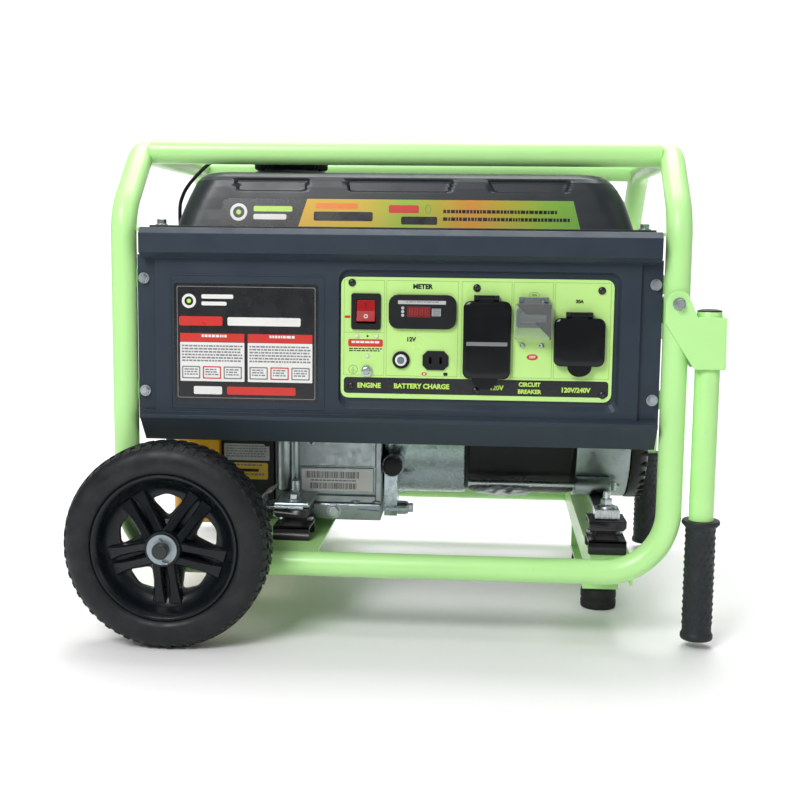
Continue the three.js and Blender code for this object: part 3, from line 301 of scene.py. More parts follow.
class Make:
    """Builds one piece from simple solids, in millimetres."""

    def __init__(self):
        self.bm = bmesh.new()

    def skin(self, rings, closed=False, caps=False):
        """Faces between neighbouring rings of points; a ring of one point is a tip."""
        rows = [[self.bm.verts.new(point) for point in ring] for ring in rings]
        for a, b in zip(rows, rows[1:] + (rows[:1] if closed else [])):
            for k in range(max(len(a), len(b))):
                corners = [a[k % len(a)], a[(k + 1) % len(a)], b[(k + 1) % len(b)], b[k % len(b)]]
                face = list(dict.fromkeys(corners))
                if len(face) > 2:
                    self.bm.faces.new(face)
        if caps:
            for row in (rows[0], rows[-1]):
                if len(row) > 2:
                    self.bm.faces.new(row)
        return self

    def lathe(self, axis, profile, centre=(0, 0, 0), steps=64, closed=False):
        """A solid of revolution; the profile is [radius, distance along the axis]."""
        rings = []
        for radius, along in profile:
            ring = circle(radius, steps) if radius > 1e-6 else [(0, 0)]
            rings.append([on_axis(axis, centre, u, v, along) for u, v in ring])
        return self.skin(rings, closed)

    def bar(self, axis, radius, span, centre=(0, 0, 0), steps=32):
        """A round bar along an axis."""
        profile = [(0, span[0]), (radius, span[0]), (radius, span[1]), (0, span[1])]
        return self.lathe(axis, profile, centre, steps)

    def prism(self, axis, outline, span):
        """A flat outline pushed along an axis."""
        rings = [[on_axis(axis, (0, 0, 0), u, v, along) for u, v in outline] for along in span]
        return self.skin(rings, caps=True)

    def loft(self, axis, layers, steps):
        """A solid through rounded rectangles, each a place along the axis, two spans and a corner radius."""
        rings = []
        for along, x, z, radius in layers:
            outline = round_rect(x, z, radius, steps)
            rings.append([on_axis(axis, (0, 0, 0), u, v, along) for u, v in outline])
        return self.skin(rings, caps=True)

    def block(self, x, y, z):
        return self.prism("z", [(x[0], y[0]), (x[1], y[0]), (x[1], y[1]), (x[0], y[1])], z)

    def tube(self, points, radius, steps=32):
        """A round bar along a path."""
        points = [Vector(point) for point in points]
        side = None
        rings = []
        for k, point in enumerate(points):
            heading = (points[min(k + 1, len(points) - 1)] - points[max(k - 1, 0)]).normalized()
            if side is None:
                side = heading.orthogonal().normalized()
            side = (side - heading * side.dot(heading)).normalized()
            other = heading.cross(side)
            rings.append([point + side * u + other * v for u, v in circle(radius, steps)])
        return self.skin(rings, caps=True)

    def cut(self, tool):
        """Takes another shape away from this one."""
        pair = []
        for make in (self, tool):
            mesh = bpy.data.meshes.new("cut")
            bmesh.ops.remove_doubles(make.bm, verts=make.bm.verts, dist=1e-4)
            bmesh.ops.recalc_face_normals(make.bm, faces=make.bm.faces)
            make.bm.to_mesh(mesh)
            make.bm.free()
            pair.append(bpy.data.objects.new("cut", mesh))
            bpy.context.scene.collection.objects.link(pair[-1])
        whole, tool_object = pair
        boolean = whole.modifiers.new("cut", "BOOLEAN")
        boolean.operation = "DIFFERENCE"
        boolean.object = tool_object
        result = whole.evaluated_get(bpy.context.evaluated_depsgraph_get()).to_mesh()
        self.bm = bmesh.new()
        self.bm.from_mesh(result)
        for piece in pair:
            mesh = piece.data
            bpy.data.objects.remove(piece)
            bpy.data.meshes.remove(mesh)
        return self

    def weld(self, axis, centre, radius, bead=2.4, seed=1):
        """A rippled weld bead around an axis."""
        rings = []
        for k in range(72):
            angle = math.radians(5 * k)
            size = bead * (1 + 0.22 * math.sin(angle * 18) + 0.2 * noise.noise(Vector((seed, angle * 4, 0))))
            ring = []
            for u, v in circle(size, 8):
                reach = radius + u
                ring.append(on_axis(axis, centre, reach * math.cos(angle), reach * math.sin(angle), v))
            rings.append(ring)
        return self.skin(rings, closed=True)

    def hexagon(self, axis, across, span, centre):
        """A hexagon head or nut, its corners slightly chamfered."""
        corner = across / math.sqrt(3)
        low, high = span
        chamfer = 0.12 * (high - low)
        rings = []
        for share, along in ((0.9, low), (1, low + chamfer), (1, high - chamfer), (0.9, high)):
            rings.append([on_axis(axis, centre, u, v, along) for u, v in circle(corner * share, 6, 0.2)])
        return self.skin(rings, caps=True)

    def turn(self, matrix, since=0):
        """Moves the vertices made after the given count."""
        self.bm.verts.ensure_lookup_table()
        bmesh.ops.transform(self.bm, matrix=matrix, verts=self.bm.verts[since:])
        return self

    def done(self, name, material, body, slot=None, replaces=(), bevel=0.0, smooth=38):
        """Finishes the piece: metres, normals, shading, material and the body it rides on."""
        bm = self.bm
        bmesh.ops.remove_doubles(bm, verts=bm.verts, dist=1e-4)
        bmesh.ops.recalc_face_normals(bm, faces=bm.faces)
        bm.transform(Matrix.Translation((FRAME_X, 0, 0)) @ Matrix.Scale(MM, 4))
        mesh = bpy.data.meshes.new(name)
        bm.to_mesh(mesh)
        bm.free()
        return settle(bpy.data.objects.new(name, mesh), material, body, replaces, bevel, smooth)


def soften(piece, bevel, smooth=38):
    """Rounds the sharp edges by bevel millimetres and shades the piece smooth between them."""
    if bevel:
        modifier = piece.modifiers.new("edges", "BEVEL")
        modifier.width = bevel * MM
        modifier.segments = 3
        modifier.limit_method = "ANGLE"
        modifier.angle_limit = math.radians(28)
        modifier.harden_normals = True
        smooth = 180
    piece.data.shade_smooth()
    if smooth < 180:
        piece.data.set_sharp_from_angle(angle=math.radians(smooth))


def settle(piece, material, body, replaces=(), bevel=0.0, smooth=38):
    """Links a piece, gives it its material, and ties it to its body and the CAD nodes it stands for."""
    bpy.context.scene.collection.objects.link(piece)
    piece.data.materials.append(material)
    if piece.type == "MESH":
        soften(piece, bevel, smooth)
    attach(piece, body)
    if replaces:
        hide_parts(*replaces)
    return piece


def dress(node, material, bevel=0.8):
    """Keeps a CAD node, with softened edges and its own material."""
    piece = NODES[node]
    piece.data.materials.clear()
    piece.data.materials.append(material)
    weld = piece.modifiers.new("weld", "WELD")
    weld.merge_threshold = 0.02 * MM
    flat = piece.modifiers.new("flat", "DECIMATE")
    flat.decimate_type = "DISSOLVE"
    flat.angle_limit = math.radians(0.6)
    edges = piece.modifiers.new("edges", "BEVEL")
    edges.width = bevel * MM
    edges.segments = 2
    edges.limit_method = "ANGLE"
    edges.angle_limit = math.radians(32)


# ------------------------------------------------------------------ frame
TUBE_R = 15
HALF_WIDTH = 325
HALF_DEPTH = 245
BOTTOM_Z = 88
TOP_Z = 584
SHOULDER_Z = 507
TOP_RAIL_Y = 160
HOOP_END_Y = 118
CORNER_BEND = 75
SHOULDER_BEND = 60
AXLE = (-261, 121.5)  # X and Z of the stub axles
PANEL_BOLT_Z = (296, 430)


def hoop_path(side):
    half = [(HOOP_END_Y, TOP_Z), (TOP_RAIL_Y, TOP_Z), (HALF_DEPTH, SHOULDER_Z), (HALF_DEPTH, BOTTOM_Z)]
    left = [(-HALF_WIDTH, side * y, z) for y, z in half]
    right = [(HALF_WIDTH, side * y, z) for y, z in reversed(half)]
    bends = [SHOULDER_BEND, SHOULDER_BEND, CORNER_BEND]
    return bend([*left, *right], [*bends, *reversed(bends)])


def tank_tab(make, side, end):
    """The welded tab under one ear of the tank, turned in behind the panel."""
    outline = [(277, 187), (316, 187), (316, 246), (307, 246), (307, 220.5), (277, 220.5)]
    make.prism("z", [(end * x, side * y) for x, y in outline], (486.1, 489.4))


def build_hoop(name, side):
    """One bent hoop with its tank tabs, the panel's ears at the front, and the axle's plate."""
    make = Make().tube(hoop_path(side), TUBE_R, 40)
    for end in (-1, 1):
        tank_tab(make, side, end)
        if side < 0:
            for z in PANEL_BOLT_Z:
                x = sorted((end * 290, end * 318))
                make.prism("y", round_rect(x, (z - 11, z + 11), 4), (-246.2, -243))
                make.weld("y", (end * 310, -244.6, z), 4, 1.8, z)
        make.weld("z", (end * 312, side * 232, 487.6), 4, 1.8, end)
    ax, az = AXLE
    arch = [(ax + u, az + v) for u, v in circle(18, 24) if v > 0]
    plate = [(ax - 20, 96), (ax + 20, 96), (ax + 20, az), *arch, (ax - 20, az)]
    make.prism("y", plate, sorted((side * 240, side * 250)))
    make.weld("y", (ax, side * 250, az), 14, 2, 4)
    make.done(f"frame_{name}_hoop_tube", LIME_PAINT, "machine", "frame_paint", [f"frame_{name}_hoop"])
    build_axle(name, side)


def build_axle(name, side):
    """The zinc-plated stub axle with its collar, washer, chamfered end and cotter pin."""
    ax, az = AXLE
    centre = (ax, 0, az)
    make = Make()
    profile = [(0, 236), (12, 236), (12, 240), (8, 240), (8, 250.2), (13, 250.2), (13, 261.5), (8, 262.5),
               (8, 338), (7, 339), (0, 339)]
    make.lathe("y", sided(profile, side), centre)
    make.done(f"{name}_stub_axle", ZINC, "machine", "zinc_steel", bevel=0.5)
    washer = Make()
    ring = [(8.4, 329.5), (17.6, 329.5), (18, 330.2), (17.6, 331.3), (8.4, 331.3)]
    washer.lathe("y", sided(ring, side), centre, closed=True)
    pin = [(ax - 3, az + 13), (ax, az + 9), (ax, az), (ax, az - 10), (ax + 4, az - 15), (ax + 8, az - 15)]
    washer.tube(spline([(x, side * 334.6, z) for x, z in pin]), 1.3, 12)
    washer.done(f"{name}_washer_and_pin", GALVANISED, "machine", "zinc_steel")
    end_cap = [(0, 331.4), (9.4, 331.4), (9.4, 340), (8.2, 341.6), (0, 342)]
    make = Make().lathe("y", sided(end_cap, side), centre)
    make.done(f"{name}_axle_end", BLACK_PAINT, "machine", "black_paint", bevel=0.3)


def build_rails():
    """The straight tubes along the top, with a weld at each end."""
    for name, side in SIDES:
        make = Make()
        reach = HALF_WIDTH - 13
        make.tube([(-reach, side * TOP_RAIL_Y, TOP_Z), (reach, side * TOP_RAIL_Y, TOP_Z)], TUBE_R, 40)
        for end in (-1, 1):
            make.weld("x", (end * (reach - 3), side * TOP_RAIL_Y, TOP_Z), TUBE_R - 1.1, 0.7, end + side)
        make.done(f"top_{name}_rail_tube", LIME_PAINT, "machine", "frame_paint", [f"top_{name}_rail"])
    for name, x in (("left", -HALF_WIDTH), ("right", HALF_WIDTH)):
        make = Make()
        make.tube([(x, -HOOP_END_Y, TOP_Z), (x, HOOP_END_Y, TOP_Z)], TUBE_R, 40)
        for end in (-1, 1):
            make.weld("y", (x, end * HOOP_END_Y, TOP_Z), TUBE_R - 1.1, 0.7, x + end)
        make.done(f"top_{name}_tube_welded", LIME_PAINT, "machine", "frame_paint", [f"top_{name}_tube"])


for NAME, SIDE in SIDES:
    build_hoop(NAME, SIDE)
build_rails()
dress("left_crossmember", LIME_PAINT, 1.0)
dress("right_crossmember", LIME_PAINT, 1.0)


# ------------------------------------------------------------------ wheels, feet and isolators
WHEEL_Y = 299
FOOT_X, FOOT_Y = 261, 87
ISOLATORS = {"left": (-133, 168), "right": (257, 197)}
TYRE_LUGS = 58
SPOKES = (270, 342, 54, 126, 198)  # the direction of each twin spoke, in degrees
WINDOWS = tuple(18 + 72 * k for k in range(5))  # the direction of each window


def wheel_centre(side):
    return (AXLE[0], side * WHEEL_Y, AXLE[1])


def lug(make, side, angles, foot, tops, along, skew=0.0):
    """One tread block: its two angles, its foot radius, and the top radius at each end along the axle."""
    rings = []
    for distance, top, lean in zip(along, tops, (-skew, skew)):
        corners = ((foot, angles[0]), (top, angles[0] + 0.006), (top, angles[1] - 0.006), (foot, angles[1]))
        rings.append([on_axis("y", wheel_centre(side), radius * math.cos(angle + lean),
                              radius * math.sin(angle + lean), side * distance) for radius, angle in corners])
    make.skin(rings, caps=True)


def build_tyre(name, side):
    """The tyre's casing with shoulder and inner tread blocks, half a pitch apart across the tread."""
    half = [(86.9, 21), (87.2, 25.6), (89.2, 28.4), (92.6, 30), (97, 30.8), (102, 31), (106.6, 30.4),
            (110.8, 28.9), (114, 26.8), (116.6, 24), (118.4, 20.6), (119.2, 17), (119.4, 4)]
    profile = [*half, *((r, -a) for r, a in reversed(half))]
    make = Make().lathe("y", sided(profile, side), wheel_centre(side), 120, closed=True)
    pitch = 2 * math.pi / TYRE_LUGS
    for k in range(TYRE_LUGS):
        for face in (-1, 1):
            start = (k if face < 0 else k + 0.5) * pitch
            shoulder = (start, start + 0.66 * pitch)
            lug(make, side, shoulder, 113, (121.3, 117.6), (face * 14.6, face * (25.4 if k % 2 else 24.6)))
            inner = (start + 0.3 * pitch, start + 0.92 * pitch)
            lug(make, side, inner, 117, (121.4, 121.4), (face * 1.2, face * 13), face * 0.03)
    make.done(f"{name}_tyre_tread", TYRE, f"{name}_wheel", "tyre_rubber", [f"{name}_tyre"], smooth=30)


def window_outline(direction):
    """A triangular window with rounded corners, as points across the axle."""
    corners = []
    for radius, offset in ((33, 0), (57, -20), (61, 0), (57, 20)):
        angle = math.radians(direction + offset)
        corners.append(Vector((radius * math.cos(angle), radius * math.sin(angle))))
    outline = []
    for k, corner in enumerate(corners):
        before, after = corners[k - 1], corners[(k + 1) % len(corners)]
        for t in (0, 0.25, 0.5, 0.75, 1):
            start = corner + (before - corner).normalized() * 6
            end = corner + (after - corner).normalized() * 6
            outline.append((1 - t) ** 2 * start + 2 * t * (1 - t) * corner + t**2 * end)
    return outline


def spoke_rib(make, side, direction, offset):
    """One of the two ribs of a twin spoke, standing on the web and falling away from the hub."""
    turn = Matrix.Rotation(math.radians(direction), 2)
    x, y, z = wheel_centre(side)
    rings = []
    for radius, height, half in ((17, 27, 6.4), (27, 23, 6.2), (42, 16.5, 6.2), (56, 12, 7), (69, 10, 9.2)):
        section = [(-half, 3), (-half + 0.6, height - 2.5), (-half + 2.4, height),
                   (half - 2.4, height), (half - 0.6, height - 2.5), (half, 3)]
        ring = []
        for across, up in section:
            u, v = turn @ Vector((radius, offset * (1 + 0.004 * radius) + across))
            ring.append((x + u, y + side * up, z + v))
        rings.append(ring)
    make.skin(rings, caps=True)


def build_rim(name, side):
    """The moulded rim: hub, web with five windows, and five twin spokes."""
    centre = wheel_centre(side)
    profile = [(86.6, -25), (86.6, 25.8), (85.2, 27), (83, 26.6), (80.6, 24.6), (78, 20.6), (75.6, 15.6),
               (72, 10), (66, 6), (62, 4.2), (30, 4.2), (25, 8), (22.6, 16), (22, 25), (20.6, 29.4),
               (9, 29.8), (8.4, 29), (8.4, -30), (21, -30), (21, -3), (74, -3), (79, -25)]
    web = Make().lathe("y", sided(profile, side), centre, 110, closed=True)
    for direction in WINDOWS:
        outline = [(centre[0] + u, centre[2] + v) for u, v in window_outline(direction)]
        web.cut(Make().prism("y", outline, sorted((side * 290, side * 325))))
    for direction in SPOKES:
        for offset in (-7.6, 7.6):
            spoke_rib(web, side, direction, offset)
    web.done(f"{name}_rim_moulding", RIM_PLASTIC, f"{name}_wheel", "black_plastic", [f"{name}_rim"],
             bevel=0.9)


def build_foot(name, side):
    """A rubber foot with a grooved side, and the screw in its hollow."""
    place = (FOOT_X, side * FOOT_Y, 0)
    profile = [(0, 6), (7, 6), (7, 1.2), (8, 0.4), (21, 0), (22.6, 0.8), (23.3, 3), (23.3, 10), (22.6, 11),
               (22.6, 13), (23.3, 14), (23.3, 21), (22.4, 27), (19, 29.4), (0, 29.4)]
    make = Make().lathe("z", profile, place, 56)
    make.done(f"{name}_rubber_foot", RUBBER, "machine", "rubber", [f"{name}_foot"])
    bolt = Make().hexagon("z", 10, (1.6, 5.8), place).bar("z", 6.4, (5.2, 6.1), place, 24)
    bolt.done(f"{name}_foot_screw", ZINC, "machine", "zinc_steel")


def folded(make, x, y, z, sheet, notch):
    """A folded sheet bridge: a top plate with two hanging lips whose corners are cut off."""
    make.block(x, y, (z[1] - sheet, z[1]))
    for edge, inward in ((y[0], sheet), (y[1], -sheet)):
        lip = [(x[0] + notch, z[0]), (x[1] - notch, z[0]), (x[1], z[0] + notch),
               (x[1], z[1]), (x[0], z[1]), (x[0], z[0] + notch)]
        make.prism("y", lip, sorted((edge, edge + inward)))
    return make


def build_isolator(name, end, side):
    """A rubber block between two folded brackets, with the screws through the lower one."""
    x, centre = ISOLATORS[end]
    y = sorted((side * (centre - 24), side * (centre + 24)))
    node = f"isolator_{name}_{end}"
    brackets = folded(Make(), (x - 23, x + 23), (y[0] - 2, y[1] + 1), (103.4, 120), 3.2, 1.5)
    folded(brackets, (x - 22.5, x + 22.5), y, (132, 144), 3.2, 4)
    brackets.done(f"{node}_brackets", BLACK_PAINT, "machine", "black_paint", [node], bevel=0.8)
    layers = []
    for z, swell in ((119.8, 1.5), (121, 0.6), (124, -1), (130, -2), (136, -1), (139.6, 0.6), (140.8, 1.5)):
        spans = shrunk((x - 14, x + 14), (side * centre - 17, side * centre + 17), -swell)
        layers.append((z, *spans, 5))
    Make().loft("z", layers, 6).done(f"{node}_rubber", RUBBER, "machine", "rubber", [node])
    bolts = Make()
    for dx in (-16, 16):
        bolts.hexagon("z", 10, (120, 124.5), (x + dx, side * (centre - 20), 0))
        bolts.bar("z", 6.5, (119.8, 120.8), (x + dx, side * (centre - 20), 0), 20)
    bolts.done(f"{node}_screws", ZINC, "machine", "zinc_steel")


for NAME, SIDE in SIDES:
    build_tyre(NAME, SIDE)
    build_rim(NAME, SIDE)
    build_foot(NAME, SIDE)
    for END in ("left", "right"):
        build_isolator(NAME, END, SIDE)


# ------------------------------------------------------------------ folding handles
HANDLE_X = 363
HANDLE_R = 14.5
PIVOT_Z = 409


def build_handle(name, side):
    """The handle's tube with its end plug, and the bracket that straddles the post."""
    y = side * HALF_DEPTH
    body = f"{name}_fold_handle"
    tube = [(HANDLE_R - 2, 15), (HANDLE_R - 0.4, 14.6), (HANDLE_R, 15),
            (HANDLE_R, 399), (HANDLE_R - 0.4, 399.8), (HANDLE_R - 2, 399.8)]
    make = Make().lathe("z", tube, (HANDLE_X, y, 0), 44, closed=True)
    make.done(f"{name}_handle_tube", LIME_PAINT, body, "frame_paint", [f"{name}_handle"])
    handle_bracket(name, y, body)
    dome = [(0, 392), (12.2, 392), (12.2, 399.9), (14.3, 400), (14, 401.4), (9, 402.7), (0, 403.2)]
    plug = Make().lathe("z", dome, (HANDLE_X, y, 0), 40)
    plug.done(f"{name}_handle_plug", BLACK_PLASTIC, body, "black_plastic")


def handle_bracket(name, y, body):
    """Two rounded cheeks beside the post, and the back plate that joins them."""
    bracket = Make()
    arc = [(HALF_WIDTH + u, PIVOT_Z + v) for u, v in circle(15, 32) if v > -0.1 and u < 11]
    plate = [(380, PIVOT_Z - 15), (HALF_WIDTH + 22, PIVOT_Z - 15), *arc, (HALF_WIDTH - 15, PIVOT_Z - 22),
             (HALF_WIDTH + 20, PIVOT_Z - 75), (380, PIVOT_Z - 75)]
    for face in (-1, 1):
        bracket.prism("y", plate, sorted((y + face * 15.6, y + face * 18.4)))
        seam = [(HANDLE_X - 9, y + face * 15, PIVOT_Z - drop) for drop in (70, 22)]
        bracket.tube(seam, 2, 10)
    bracket.block((377.4, 380), (y - 18.4, y + 18.4), (PIVOT_Z - 75, PIVOT_Z - 15))
    bracket.done(f"{name}_handle_bracket", LIME_PAINT, body, "frame_paint", [f"{name}_handle"], bevel=0.7)


def build_grip(name, side):
    """The rubber grip: a sleeve with a flange, a closed end and rows of small studs."""
    y = side * HALF_DEPTH
    profile = [(0, 10), (16.5, 10), (18.4, 10.8), (19.2, 12.4), (19.2, 16), (18.2, 18), (17.2, 20),
               (17.2, 143), (18, 146), (20.6, 148.6), (22.2, 150.4), (22.2, 153), (21.4, 154.6),
               (14.9, 155), (14.9, 14), (0, 14)]
    make = Make().lathe("z", profile, (HANDLE_X, y, 0), 56)
    for row in range(15):
        for k in range(12):
            angle = math.radians(30 * k + 15 * (row % 2))
            out = Vector((math.cos(angle), math.sin(angle), 0))
            base = Vector((HANDLE_X, y, 30 + 8 * row)) + out * 16.8
            since = len(make.bm.verts)
            make.lathe("z", [(2.3, 0), (2.1, 0.8), (1.2, 1.25), (0, 1.4)], steps=8)
            make.turn(Matrix.Translation(base) @ out.to_track_quat("Z", "Y").to_matrix().to_4x4(), since)
    make.done(f"{name}_grip_sleeve", GRIP, f"{name}_fold_handle", "rubber", [f"{name}_grip"])


def build_pivot(name, side):
    """A zinc bolt with washers through the bracket and the post."""
    centre = (HALF_WIDTH, side * HALF_DEPTH, PIVOT_Z)
    make = Make().bar("y", 4.8, (-24, 24), centre)
    for face in (-1, 1):
        make.bar("y", 7.4, sorted((face * 18.7, face * 19.6)), centre, 36)
    make.hexagon("y", 11, sorted((side * 19.6, side * 25.6)), centre)
    make.hexagon("y", 11, sorted((-side * 19.6, -side * 24.6)), centre)
    make.done(f"{name}_pivot_bolt_zinc", ZINC, "machine", "zinc_steel", [f"{name}_pivot_bolt"])


for NAME, SIDE in SIDES:
    build_handle(NAME, SIDE)
    build_grip(NAME, SIDE)
    build_pivot(NAME, SIDE)


# ------------------------------------------------------------------ fuel tank
TANK_LAYERS = (  # left, right, half depth, height and corner radius of the upper pressing
    (-274, 280, 214, 491.6, 30),
    (-272, 277.5, 212.5, 500, 31),
    (-268, 273.5, 210, 512, 32),
    (-262, 268, 207.5, 527, 33),
    (-256, 260, 205, 540, 34),
    (-252, 254, 203, 547.5, 34),
    (-247.5, 249, 199, 552.5, 33),
    (-241, 242.5, 192, 556.4, 30),
    (-231, 233, 181, 558.6, 26),
    (-210, 212, 158, 559, 22),
    (-120, 130, 80, 559, 10),
)
DENTS = ((-199, -112), (-64, 61), (107, 200))  # the pressed hollows along both shoulders
OUTLINE_POINTS = 520  # in one ring of the upper pressing
LAYER_STEPS = 10  # rings between two of the layers above
NECK = (-149, -92, 0)
VENT = (-159, -30, 580.5)
TAP = (-214, -8, 408)
CAP_RIBS = 42
TANK_SCREW = (291, 200)


def even_outline(x, y, radius):
    """Points spread evenly along a rounded rectangle."""
    corners = [Vector(point) for point in round_rect(x, y, radius, 10)]
    corners.append(corners[0])
    runs = [(b - a).length for a, b in zip(corners, corners[1:])]
    step = sum(runs) / OUTLINE_POINTS
    points = []
    at, index = 0.0, 0
    for k in range(OUTLINE_POINTS):
        while at + runs[index] < k * step - 1e-9:
            at += runs[index]
            index += 1
        points.append(corners[index].lerp(corners[index + 1], (k * step - at) / runs[index]))
    return points


def smooth_step(value, low, high):
    t = min(1, max(0, (value - low) / (high - low)))
    return t * t * (3 - 2 * t)


def dent(x, z):
    """How deep the hollows along the tank's front and rear shoulders are at a point."""
    depth = 0
    for left, right in DENTS:
        lean = (551.5 - z) * 0.35
        across = smooth_step(x, left - 4 + lean, left + lean)
        across *= 1 - smooth_step(x, right - lean, right + 4 - lean)
        depth = max(depth, across * smooth_step(z, 534.5, 538) * (1 - smooth_step(z, 548.5, 551.5)))
    return 4.5 * depth


def lerp_layers():
    rows = []
    for a, b in zip(TANK_LAYERS, TANK_LAYERS[1:]):
        rows += [[p + (q - p) * k / LAYER_STEPS for p, q in zip(a, b)] for k in range(LAYER_STEPS)]
    return [*rows, TANK_LAYERS[-1]]


def build_tank():
    """The tank's upper and lower pressings, then its flange and fittings."""
    make = Make()
    rings = []
    for left, right, half, z, radius in lerp_layers():
        ring = []
        for point in even_outline((left, right), (-half, half), radius):
            inward = dent(point.x, z) if abs(point.y) > half - 2 else 0
            y = point.y - math.copysign(inward, point.y)
            ring.append((point.x, y, z - 0.35 * inward))
        rings.append(ring)
    make.skin(rings, caps=True)
    make.done("fuel_tank_upper_pressing", SLATE_PAINT, "machine", "tank_paint", ["fuel_tank"])
    layers = []
    for inset, z in ((0, 491), (0, 450), (3, 438), (9, 430), (20, 425), (60, 425)):
        layers.append((z, *shrunk((-252, 268), (-200, 200), inset), max(8, 30 - inset / 2)))
    lower = Make().loft("z", layers, 8)
    lower.done("fuel_tank_lower_pressing", SLATE_PAINT, "machine", "tank_paint", ["fuel_tank"])
    build_tank_flange()
    build_tank_fittings()


def build_tank_flange():
    """The seam flange with its four ears, and the screws through the ears."""
    layers = []
    for inset, z in ((0.8, 489.9), (0, 490.4), (0, 492.5), (0.8, 493), (6, 493)):
        layers.append((z, *shrunk((-276, 282), (-217, 217), inset), 30 - inset / 2))
    flange = Make().loft("z", layers, 10)
    for _, side in SIDES:
        for end in (-1, 1):
            x = sorted((end * 250, end * 304))
            y = sorted((side * 186, side * 214))
            flange.prism("z", round_rect(x, y, 6), (489.9, 493))
    flange.done("fuel_tank_flange", SLATE_PAINT, "machine", "tank_paint", ["fuel_tank"], bevel=0.5)
    screws = Make()
    for _, side in SIDES:
        for end in (-1, 1):
            place = (end * TANK_SCREW[0], side * TANK_SCREW[1], 0)
            screws.bar("z", 7.4, (493, 494.3), place, 32)
            screws.hexagon("z", 10, (494.3, 500.4), place)
            screws.bar("z", 3.6, (479, 486), place, 16)
    screws.done("fuel_tank_screws", ZINC, "machine", "zinc_steel", bevel=0.3)


def build_tank_fittings():
    """The stepped filler neck, the cap and the vent."""
    neck = Make()
    for profile in (
        [(24, 545), (33, 545), (34, 547), (34, 571), (33, 572), (24.4, 572)],
        [(34, 552), (46, 552), (46, 562.6), (44.6, 564.2), (34, 564.4)],
    ):
        neck.lathe("z", profile, NECK, 72, closed=True)
    neck.done("fuel_tank_neck", SLATE_PAINT, "machine", "tank_paint", ["fuel_tank"])
    build_fuel_cap()
    build_tank_vent()


def build_fuel_cap():
    """The ribbed filler cap with its grip bar."""
    cap = Make()
    rings = []
    for radius, z, wave in (
        (38, 573.5, 0), (40, 573.3, 0), (41, 567, 0), (44.5, 566.2, 0), (46, 568, 0.9), (46, 587, 0.9),
        (44.6, 590.6, 0.8), (42, 592.4, 0.3), (38.5, 592.8, 0), (37, 591.2, 0), (30, 591, 0), (0, 591, 0),
    ):
        count = 6 * CAP_RIBS if radius else 1
        turn = 2 * math.pi / (6 * CAP_RIBS)
        ring = []
        for k in range(count):
            reach = radius + wave * math.cos(CAP_RIBS * turn * k)
            ring.append((NECK[0] + reach * math.cos(turn * k), NECK[1] + reach * math.sin(turn * k), z))
        rings.append(ring)
    cap.skin(rings, caps=True)
    cap.prism("z", round_rect((-181, -117), (-99, -85), 6), (590.6, 593.8))
    cap.done("fuel_cap_moulding", BLACK_PLASTIC, "filler_cap", "black_plastic", ["fuel_cap"], smooth=50)


def build_tank_vent():
    """The vent valve with its ribbed nipple and hose, and the fuel tap under the tank."""
    vx, vy, vz = VENT
    valve = [(0, 556), (7.5, 556), (7.5, 566), (6, 567), (6, 570), (7.4, 571), (7.4, 584), (6.4, 585.4),
             (0, 585.4)]
    fittings = Make().lathe("z", valve, (vx, vy, 0), 40)
    nipple = [(0, -22), (2.2, -22), (2.6, -20), (2.2, -17), (2.6, -14), (2.2, -11), (2.2, 0), (0, 0)]
    fittings.lathe("x", nipple, VENT, 20)
    tap = [(0, 396), (9, 396), (10, 398), (10, 416), (8, 418), (8, 422), (12, 423), (12, 427), (0, 427)]
    fittings.lathe("z", tap, (TAP[0], TAP[1], 0), 32)
    fittings.bar("x", 8.6, (-16, 0), TAP)
    fittings.done("fuel_tank_vent_and_tap", BLACK_PLASTIC, "machine", "black_plastic", ["fuel_tank"])
    hose = spline([(vx - 22, vy, vz), (vx - 31, vy, vz), (-207, -37, 583), (-228, -62, 584), (-246, -92, 579),
                   (-256, -104, 571.5), (-270, -105, 558), (-280.5, -105, 546), (-288, -105, 533),
                   (-292.5, -104, 515), (-294, -92, 470), (-300, -50, 430), (-304, 40, 405),
                   (-304, 120, 372), (-302, 160, 345), (-299, 171, 337), (-291, 172, 336)])
    Make().tube(hose, 2.3, 16).done("vent_hose_run", RUBBER, "machine", "rubber", ["tank_vent_hose"])


build_tank()
dress("fuel_valve_lever", RED_PLASTIC, 0.8)


# ------------------------------------------------------------------ panel housing, decals and small parts
FACE = -255
PLATE_FRONT = -251.8
LEGEND_Y = PLATE_FRONT - 0.06 - 0.2
LABEL_EDGE = ((-266, -85), (278, 434))  # the inside of the label's frame
EARTH_STUD = (-33.7, 0, 324.6)
STRIPE = (-112, 214)  # where the tank stripe's colours start and end


def printed(name, colour, roughness=0.32):
    """Printed vinyl: even ink with slight fading and a few scuffs."""
    ink = Shader(name, colour, roughness, Coat_Weight=0.3, Coat_Roughness=0.15)
    ink.tint(ink.ramp(ink.noise(35, 4), 0.45, 0.75, 0, 0.3), darker(colour, 0.82))
    ink.uneven(16, roughness - 0.06, roughness + 0.1)
    return ink.bump(ink.noise(1.2, 2), 0.01).material


